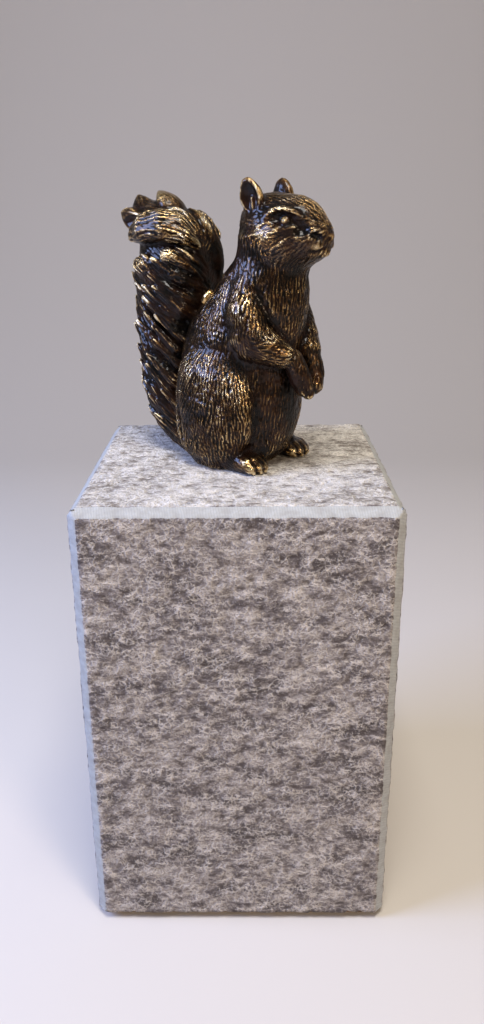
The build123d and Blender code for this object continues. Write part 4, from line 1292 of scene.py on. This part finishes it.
def dressed_stone_tree():
    """A box with bevelled edges, rough faces and smooth bevels, no larger than its size."""
    tree, given = blank_tree("dressed_stone", {
        "Size": "Vector", "Middle": "Vector", "Bevel": "Float", "Grain": "Float", "Depth": "Float"})
    size = given["Size"]
    counts = add(tree, VECTORS, (size, add(tree, COMBINE, [given["Grain"]] * 3)), operation="DIVIDE")
    counts = add(tree, SPLIT, (counts,)).outputs
    box = add(tree, "GeometryNodeMeshCube", (size, counts[0], counts[1], counts[2]))
    half = add(tree, SPLIT, (add(tree, VECTORS, (size, 0.5), operation="SCALE"),)).outputs
    place = add(tree, "GeometryNodeInputPosition")
    signs = add(tree, VECTORS, (place,), operation="SIGN")
    wide, deep, _ = add(tree, SPLIT, (add(tree, VECTORS, (place,), operation="ABSOLUTE"),)).outputs
    up = add(tree, SPLIT, (place,)).outputs[2]
    farther = add(tree, MATHS, (wide, deep), operation="MAXIMUM")
    sideways = add(tree, MATHS, (wide, deep), operation="GREATER_THAN")
    forward = add(tree, MATHS, (1.0, sideways), operation="SUBTRACT")
    honed = add(tree, NAMED, ("honed",), data_type="FLOAT")

    # how far a point lies beyond a bevel, and the push that brings it back: upright edges, then the top's
    for first, second, reaches, directions in ((wide, deep, (half[0], half[1]), (1.0, 1.0, 0.0)),
                                               (farther, up, (half[0], half[2]), (sideways, forward, 1.0))):
        limit = add(tree, MATHS, reaches, operation="ADD")
        limit = add(tree, MATHS, (limit, given["Bevel"]), operation="SUBTRACT")
        over = add(tree, MATHS, (first, second), operation="ADD")
        over = add(tree, MATHS, (over, limit), operation="SUBTRACT")
        over = add(tree, MATHS, (over, 0.0), operation="MAXIMUM")
        most = add(tree, MATHS, (honed, over), operation="MAXIMUM")
        box = add(tree, STORE, {"Geometry": box, "Name": "honed", "Value": most}, data_type="FLOAT")
        push = add(tree, VECTORS, (add(tree, COMBINE, directions), signs), operation="MULTIPLY")
        back = add(tree, MATHS, (over, -0.5), operation="MULTIPLY")
        box = add(tree, MOVE, {
            "Geometry": box, "Offset": add(tree, VECTORS, (push, back), operation="SCALE")})
    in_mm = add(tree, VECTORS, (place, 1 / MM), operation="SCALE")
    ragged = add(tree, NOISE, {"Vector": in_mm, "Scale": 0.6, "Detail": 2.0})
    ragged = add(tree, MATHS, (ragged, given["Grain"]), operation="MULTIPLY")
    sharp = add(tree, MATHS, (honed, ragged), operation="GREATER_THAN")
    box = add(tree, STORE, {"Geometry": box, "Name": "honed", "Value": sharp}, data_type="FLOAT")

    # plates and pits, inwards only, none on the bevels
    beds = add(tree, VECTORS, (in_mm, BED_STRETCH), operation="MULTIPLY")
    worn = WEATHER_START
    for scale, detail, start, full, weight in WEATHERING:
        mark = add(tree, NOISE, {"Vector": beds, "Scale": scale, "Detail": detail})
        mark = add(tree, RANGE, (mark, start, full), interpolation_type="SMOOTHSTEP")
        worn = add(tree, MATHS, (mark, weight, worn), operation="MULTIPLY_ADD")
    rough = add(tree, MATHS, (honed, -1.0, 1.0), operation="MULTIPLY_ADD")
    for factor in (rough, given["Depth"], -1.0):
        worn = add(tree, MATHS, (worn, factor), operation="MULTIPLY")
    push = add(tree, VECTORS, (add(tree, "GeometryNodeInputNormal"), worn), operation="SCALE")
    for offset in (push, given["Middle"]):
        box = add(tree, MOVE, {"Geometry": box, "Offset": offset})
    return finish_tree(tree, box, given["Material"])


# %% [markdown]
# The stone's colour is a mixture: warm grey-brown with darker purple-grey patches, pale crusty plates
# with curled rims round small pits, and dark specks. The patches lie flat, as beds do, so their
# pattern is stretched sideways. The level top gets paler copies of every colour, which is painted
# light from above, and the honed bevels are light and smooth, with faint saw marks.

# %% Colours and marks of the stone
# noises: how often they repeat in a mm, detail, stretch
STONE_NOISES = [(0.09, 4.0, (1.0, 1.0, 2.2)), (0.30, 5.0, (1.0, 1.3, 1.6)), (1.4, 3.0, (1.0, 1.0, 1.0))]
# colours of the faces, and of the top, whose paler colours are painted light from above
FACE_COLOURS = [(0.34, "#524B49"), (0.46, "#756D6B"), (0.56, "#908782"), (0.68, "#AAA19A")]
LIT_TOP_COLOURS = [(0.36, "#8D857D"), (0.48, "#AEA79F"), (0.62, "#C9C2B9")]
# how level a face is that counts as the top, which is painted paler as painted light
LIT_TOP_LEVEL = 0.9
# crust: size of its cells and how far noise bends them in mm, where rims start and are full, towards the
# border of a cell, and where the blots begin to let them show and let them show in full
CRUST_CELL, CRUST_BEND, CRUST_RIMS, CRUST_SHOWS = 1.7, 2.2, (0.20, 0.03), (0.40, 0.56)
# saw marks: turn in degrees and strength
SAW_ANGLES, SAW_STRENGTH = (0.0, 38.0, 24.0), 0.35
# stains of the bevels: where they start and are full, least and most strength
STAINS = (0.62, 0.36, 0.0, 0.5)
# ragged border of the bevels: how far the blots move it, and the sum at which a bevel begins
BORDER_BLOTS, BORDER_SUM = 1.6, 1.3
# bump: weights of specks and rims, what a bevel takes away from it, and its depth in mm
SPECK_BUMP, RIM_BUMP, BEVEL_BUMP, STONE_BUMP = 0.5, 0.35, (-0.85, 1.0), 0.9
# what a bevel adds to the roughness, and the rough faces' own
STONE_ROUGHNESS = (-0.25, 0.92)


# %% Stone
def stone_material():
    """Rough grey-brown stone with pale honed bevels, and a top painted paler as painted light from above."""
    material, tree = blank_material("rough_and_honed_stone")
    where = add(tree, COORDINATES).outputs["Object"]
    up = add(tree, SPLIT, (add(tree, "ShaderNodeNewGeometry").outputs["Normal"],)).outputs["Z"]
    # the level top gets paler copies of every colour: painted light from above
    lit_top = add(tree, MATHS, (up, LIT_TOP_LEVEL), operation="GREATER_THAN")
    patterns = []
    for scale, detail, stretch in STONE_NOISES:
        place = add(tree, MAPPING, {"Vector": where, "Scale": [factor / MM for factor in stretch]})
        patterns.append(add(tree, NOISE, {
            "Vector": place, "Scale": scale, "Detail": detail, "Roughness": 0.6}))
    beds, blots, specks = patterns

    # borders of small cells, bent by noise, are the rims of the crust, and their middles are pits
    in_mm = add(tree, VECTORS, (where, 1 / MM), operation="SCALE")
    bend = add(tree, NOISE, {"Vector": in_mm, "Scale": 0.8, "Detail": 2.0}).outputs["Color"]
    bent = add(tree, VECTORS, (bend, [CRUST_BEND] * 3, in_mm), operation="MULTIPLY_ADD")
    cells = add(tree, "ShaderNodeTexVoronoi", {"Vector": bent, "Scale": 1 / CRUST_CELL},
                feature="DISTANCE_TO_EDGE")
    thin = add(tree, RANGE, (blots, *CRUST_SHOWS))
    rims = add(tree, RANGE, (cells, *CRUST_RIMS))
    rims = add(tree, MATHS, (rims, thin), operation="MULTIPLY")

    # layers: pattern, where it starts and is full, strength, colour on the faces and on the top, the top's
    # paler as painted light
    faces_base, lit_top_base = (add(tree, RAMP, (beds,), colours) for colours in (FACE_COLOURS, LIT_TOP_COLOURS))
    base = add(tree, MIX, (lit_top, faces_base, lit_top_base), data_type="RGBA")
    for pattern, start, full, strength, on_face, on_lit_top in (
            (blots, 0.54, 0.70, 0.75, "#CFC5BD", "#E8E1D8"), (blots, 0.46, 0.33, 0.80, "#4B4240", "#625951"),
            (cells, 0.30, 0.50, 0.45, "#544B48", "#8A827A"), (rims, 0.0, 1.0, 0.62, "#DDD3CA", "#F0EAE2"),
            (specks, 0.42, 0.30, 0.7, "#463C38", "#463C38"), (specks, 0.60, 0.72, 0.6, "#D8D0C8", "#E6E0D8")):
        amount = add(tree, RANGE, (pattern, start, full, 0.0, strength))
        colour = add(tree, MIX, (lit_top, on_face, on_lit_top), data_type="RGBA")
        base = add(tree, MIX, (amount, base, colour), data_type="RGBA")

    # honed bevels: saw marks and stains, with a ragged border
    place = add(tree, MAPPING, {"Vector": in_mm, "Rotation": [radians(angle) for angle in SAW_ANGLES]})
    saw = add(tree, "ShaderNodeTexWave", {"Vector": place, "Scale": 0.55, "Distortion": 3.0, "Detail": 2.0})
    stain = add(tree, RANGE, (blots, *STAINS))
    marks = add(tree, MATHS, (saw.outputs["Fac"], SAW_STRENGTH), operation="MULTIPLY")
    smooth = add(tree, MIX, (marks, "#A5A6A4", "#C4C4C0"), data_type="RGBA")
    smooth = add(tree, MIX, (stain, smooth, "#8B8782"), data_type="RGBA")
    honed = add(tree, ATTRIBUTE, attribute_name="honed").outputs["Fac"]
    honed = add(tree, MATHS, (blots, BORDER_BLOTS, honed), operation="MULTIPLY_ADD")
    honed = add(tree, MATHS, (honed, BORDER_SUM), operation="GREATER_THAN")
    relief = add(tree, MATHS, (specks, SPECK_BUMP, blots), operation="MULTIPLY_ADD")
    relief = add(tree, MATHS, (rims, RIM_BUMP, relief), operation="MULTIPLY_ADD")
    flat = add(tree, MATHS, (honed, *BEVEL_BUMP), operation="MULTIPLY_ADD")
    relief = add(tree, MATHS, (relief, flat), operation="MULTIPLY")
    skin = add(tree, SURFACE, {
        "Base Color": add(tree, MIX, (honed, base, smooth), data_type="RGBA"), "Specular IOR Level": 0.35,
        "Roughness": add(tree, MATHS, (honed, *STONE_ROUGHNESS), operation="MULTIPLY_ADD"),
        "Normal": add(tree, BUMP, {"Height": relief, "Distance": STONE_BUMP * MM, "Strength": 0.9})})
    add(tree, "ShaderNodeOutputMaterial", (skin,))
    return material


# %% Cut the block
# in mm: width of the bevels as set back from the edge, size of the mesh's squares, depth of the pits
BEVEL, STONE_GRAIN, STONE_DEPTH = 3.4, 1.05, 0.55
low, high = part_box("plinth_block")
# one placeholder face carries the modifier, whose tree makes the whole block
stone_block = mesh_object("stone_block", np.array([low, high, low]), np.array([[0, 1, 2]]))
grown(stone_block, dressed_stone_tree(), {
    "Size": tuple(high - low), "Middle": tuple((high + low) / 2), "Bevel": BEVEL * MM,
    "Grain": STONE_GRAIN * MM, "Depth": STONE_DEPTH * MM, "Material": stone_material()})
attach(stone_block, "root")
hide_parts("plinth_block")

# %% [markdown]
# ## Felt
#
# A sheet of brown wool felt under the stone protects the table. Felt has no weave: its fibres lie in
# all directions, and short ends stick out along the cut edge. Geometry Nodes plants these ends on the
# sheet's own surface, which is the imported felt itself.

# %% Build the felt
FIBRES_PER_MM2 = 4.0
FIBRE_LENGTH, FIBRE_RADIUS = 0.7, 0.022
# how far a fibre may bend away from the edge, least and most, and the steepness that marks the edge
BEND_LEAST, BEND_MOST, EDGE_STEEPNESS = (-1.5, -1.5, -0.2), (1.5, 1.5, 0.5), 0.5


def felt_nap_tree():
    """Short bent fibres in all directions on the cut edge of a sheet of felt."""
    tree, given = blank_tree("felt_nap", {
        "Density": "Float", "Length": "Float", "Radius": "Float", "Seed": "Int"})
    up = add(tree, SPLIT, (add(tree, "GeometryNodeInputNormal"),)).outputs["Z"]
    up = add(tree, MATHS, (up,), operation="ABSOLUTE")
    steep = add(tree, MATHS, (up, EDGE_STEEPNESS), operation="LESS_THAN")
    scatter = add(tree, SCATTER, {
        "Mesh": given["Geometry"], "Selection": steep, "Density": given["Density"], "Seed": given["Seed"]})
    bend = add(tree, RANDOM, {"Min": BEND_LEAST, "Max": BEND_MOST, "Seed": given["Seed"]},
               data_type="FLOAT_VECTOR")
    heading = add(tree, VECTORS, (scatter.outputs["Normal"], bend), operation="ADD")
    arc = add(tree, "GeometryNodeCurvePrimitiveBezierSegment", {
        "Resolution": 3, "Start": (0, 0, -0.2), "Start Handle": (0, 0, 0.3), "End Handle": (0.3, 0, 0.6),
        "End": (0.5, 0, 0.7)})
    laid = add(tree, INSTANCES, {
        "Points": scatter, "Instance": arc, "Rotation": add(tree, ALIGN, {"Vector": heading}, axis="Z"),
        "Scale": add(tree, COMBINE, [given["Length"]] * 3)})
    round_thread = add(tree, "GeometryNodeCurvePrimitiveCircle", {"Resolution": 3, "Radius": given["Radius"]})
    threads = add(tree, "GeometryNodeCurveToMesh", {
        "Curve": add(tree, REALIZE, (laid,)), "Profile Curve": round_thread})
    joined = add(tree, "GeometryNodeJoinGeometry", (threads,))
    tree.links.new(given["Geometry"], joined.inputs[0])
    return finish_tree(tree, joined, given["Material"])


# %% Cut the felt
# pressed wool scatters light from its fibre ends, so it has sheen and almost no gloss
felt = mottled("wool_felt", {"Scale": 1.1 / MM, "Detail": 4.0, "Distortion": 1.5},
               [(0.30, "#4E3622"), (0.50, "#82644A"), (0.72, "#AA8663")], 0.3,
               {"Roughness": 0.95, "Sheen Weight": 0.2, "Sheen Roughness": 0.5, "Sheen Tint": "#D9B48C",
                "Specular IOR Level": 0.2})

pad = frame["nodes"]["felt_pad"]
felt_sheet = bpy.data.objects.new("felt_sheet", pad.data.copy())
bpy.context.scene.collection.objects.link(felt_sheet)
felt_sheet.data.transform(pad.matrix_world)
grown(felt_sheet, felt_nap_tree(), {
    "Density": FIBRES_PER_MM2 / MM ** 2, "Length": FIBRE_LENGTH * MM, "Radius": FIBRE_RADIUS * MM, "Seed": 2,
    "Material": felt})
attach(felt_sheet, "root")
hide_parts("felt_pad")

# %% [markdown]
# ## Hidden parts
#
# Pins, stud, nut, plate, dowel and resin stay as they were packed. Nobody sees them in the finished
# piece, but each gets the surface of its own metal or resin, so that the model can be opened up. Drawn
# and turned metals are half bright, zinc plating is grey and duller, and cured resin has little gloss.

# %% Finish the hidden parts
# colours of the noise, its size in mm, metallic, roughness, and the nodes made of it
HIDDEN = {
    "drawn_bronze_rod": ("#8A6435", "#B98A4E", 0.6, 1.0, 0.34, ("tail_pins", "turn_dowel")),
    "turned_brass_plate": ("#A98A45", "#CDB06A", 0.8, 1.0, 0.30, ("core_plate",)),
    "zinc_plated_steel": ("#8E9296", "#B9BDBF", 1.5, 1.0, 0.38, ("stud_nut", "mounting_stud")),
    "cured_resin": ("#5B5A52", "#7C7A6E", 3.0, 0.0, 0.45, ("stud_resin", "dowel_resin")),
}
HIDDEN_BUMP = 0.03
for name, (dark, pale, size, metallic, roughness, nodes) in HIDDEN.items():
    finish = mottled(name, {"Scale": 1 / (size * MM), "Detail": 4.0}, [(0.35, dark), (0.65, pale)],
                     HIDDEN_BUMP, {"Metallic": metallic, "Roughness": roughness})
    for node in nodes:
        mesh = frame["nodes"][node].data
        mesh.materials.clear()
        mesh.materials.append(finish)
    print(name, "on", ", ".join(nodes))

# %% [markdown]
# ## Size of the scene
#
# The visible pieces stay inside the imported model's box, all but the felt's fibres, which reach less
# than half a millimetre below it. The scene's box is printed in millimetres.

# %% Write the sizes and finish
low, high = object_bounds()
print("scene in mm:", [round(side / MM, 2) for side in high - low])
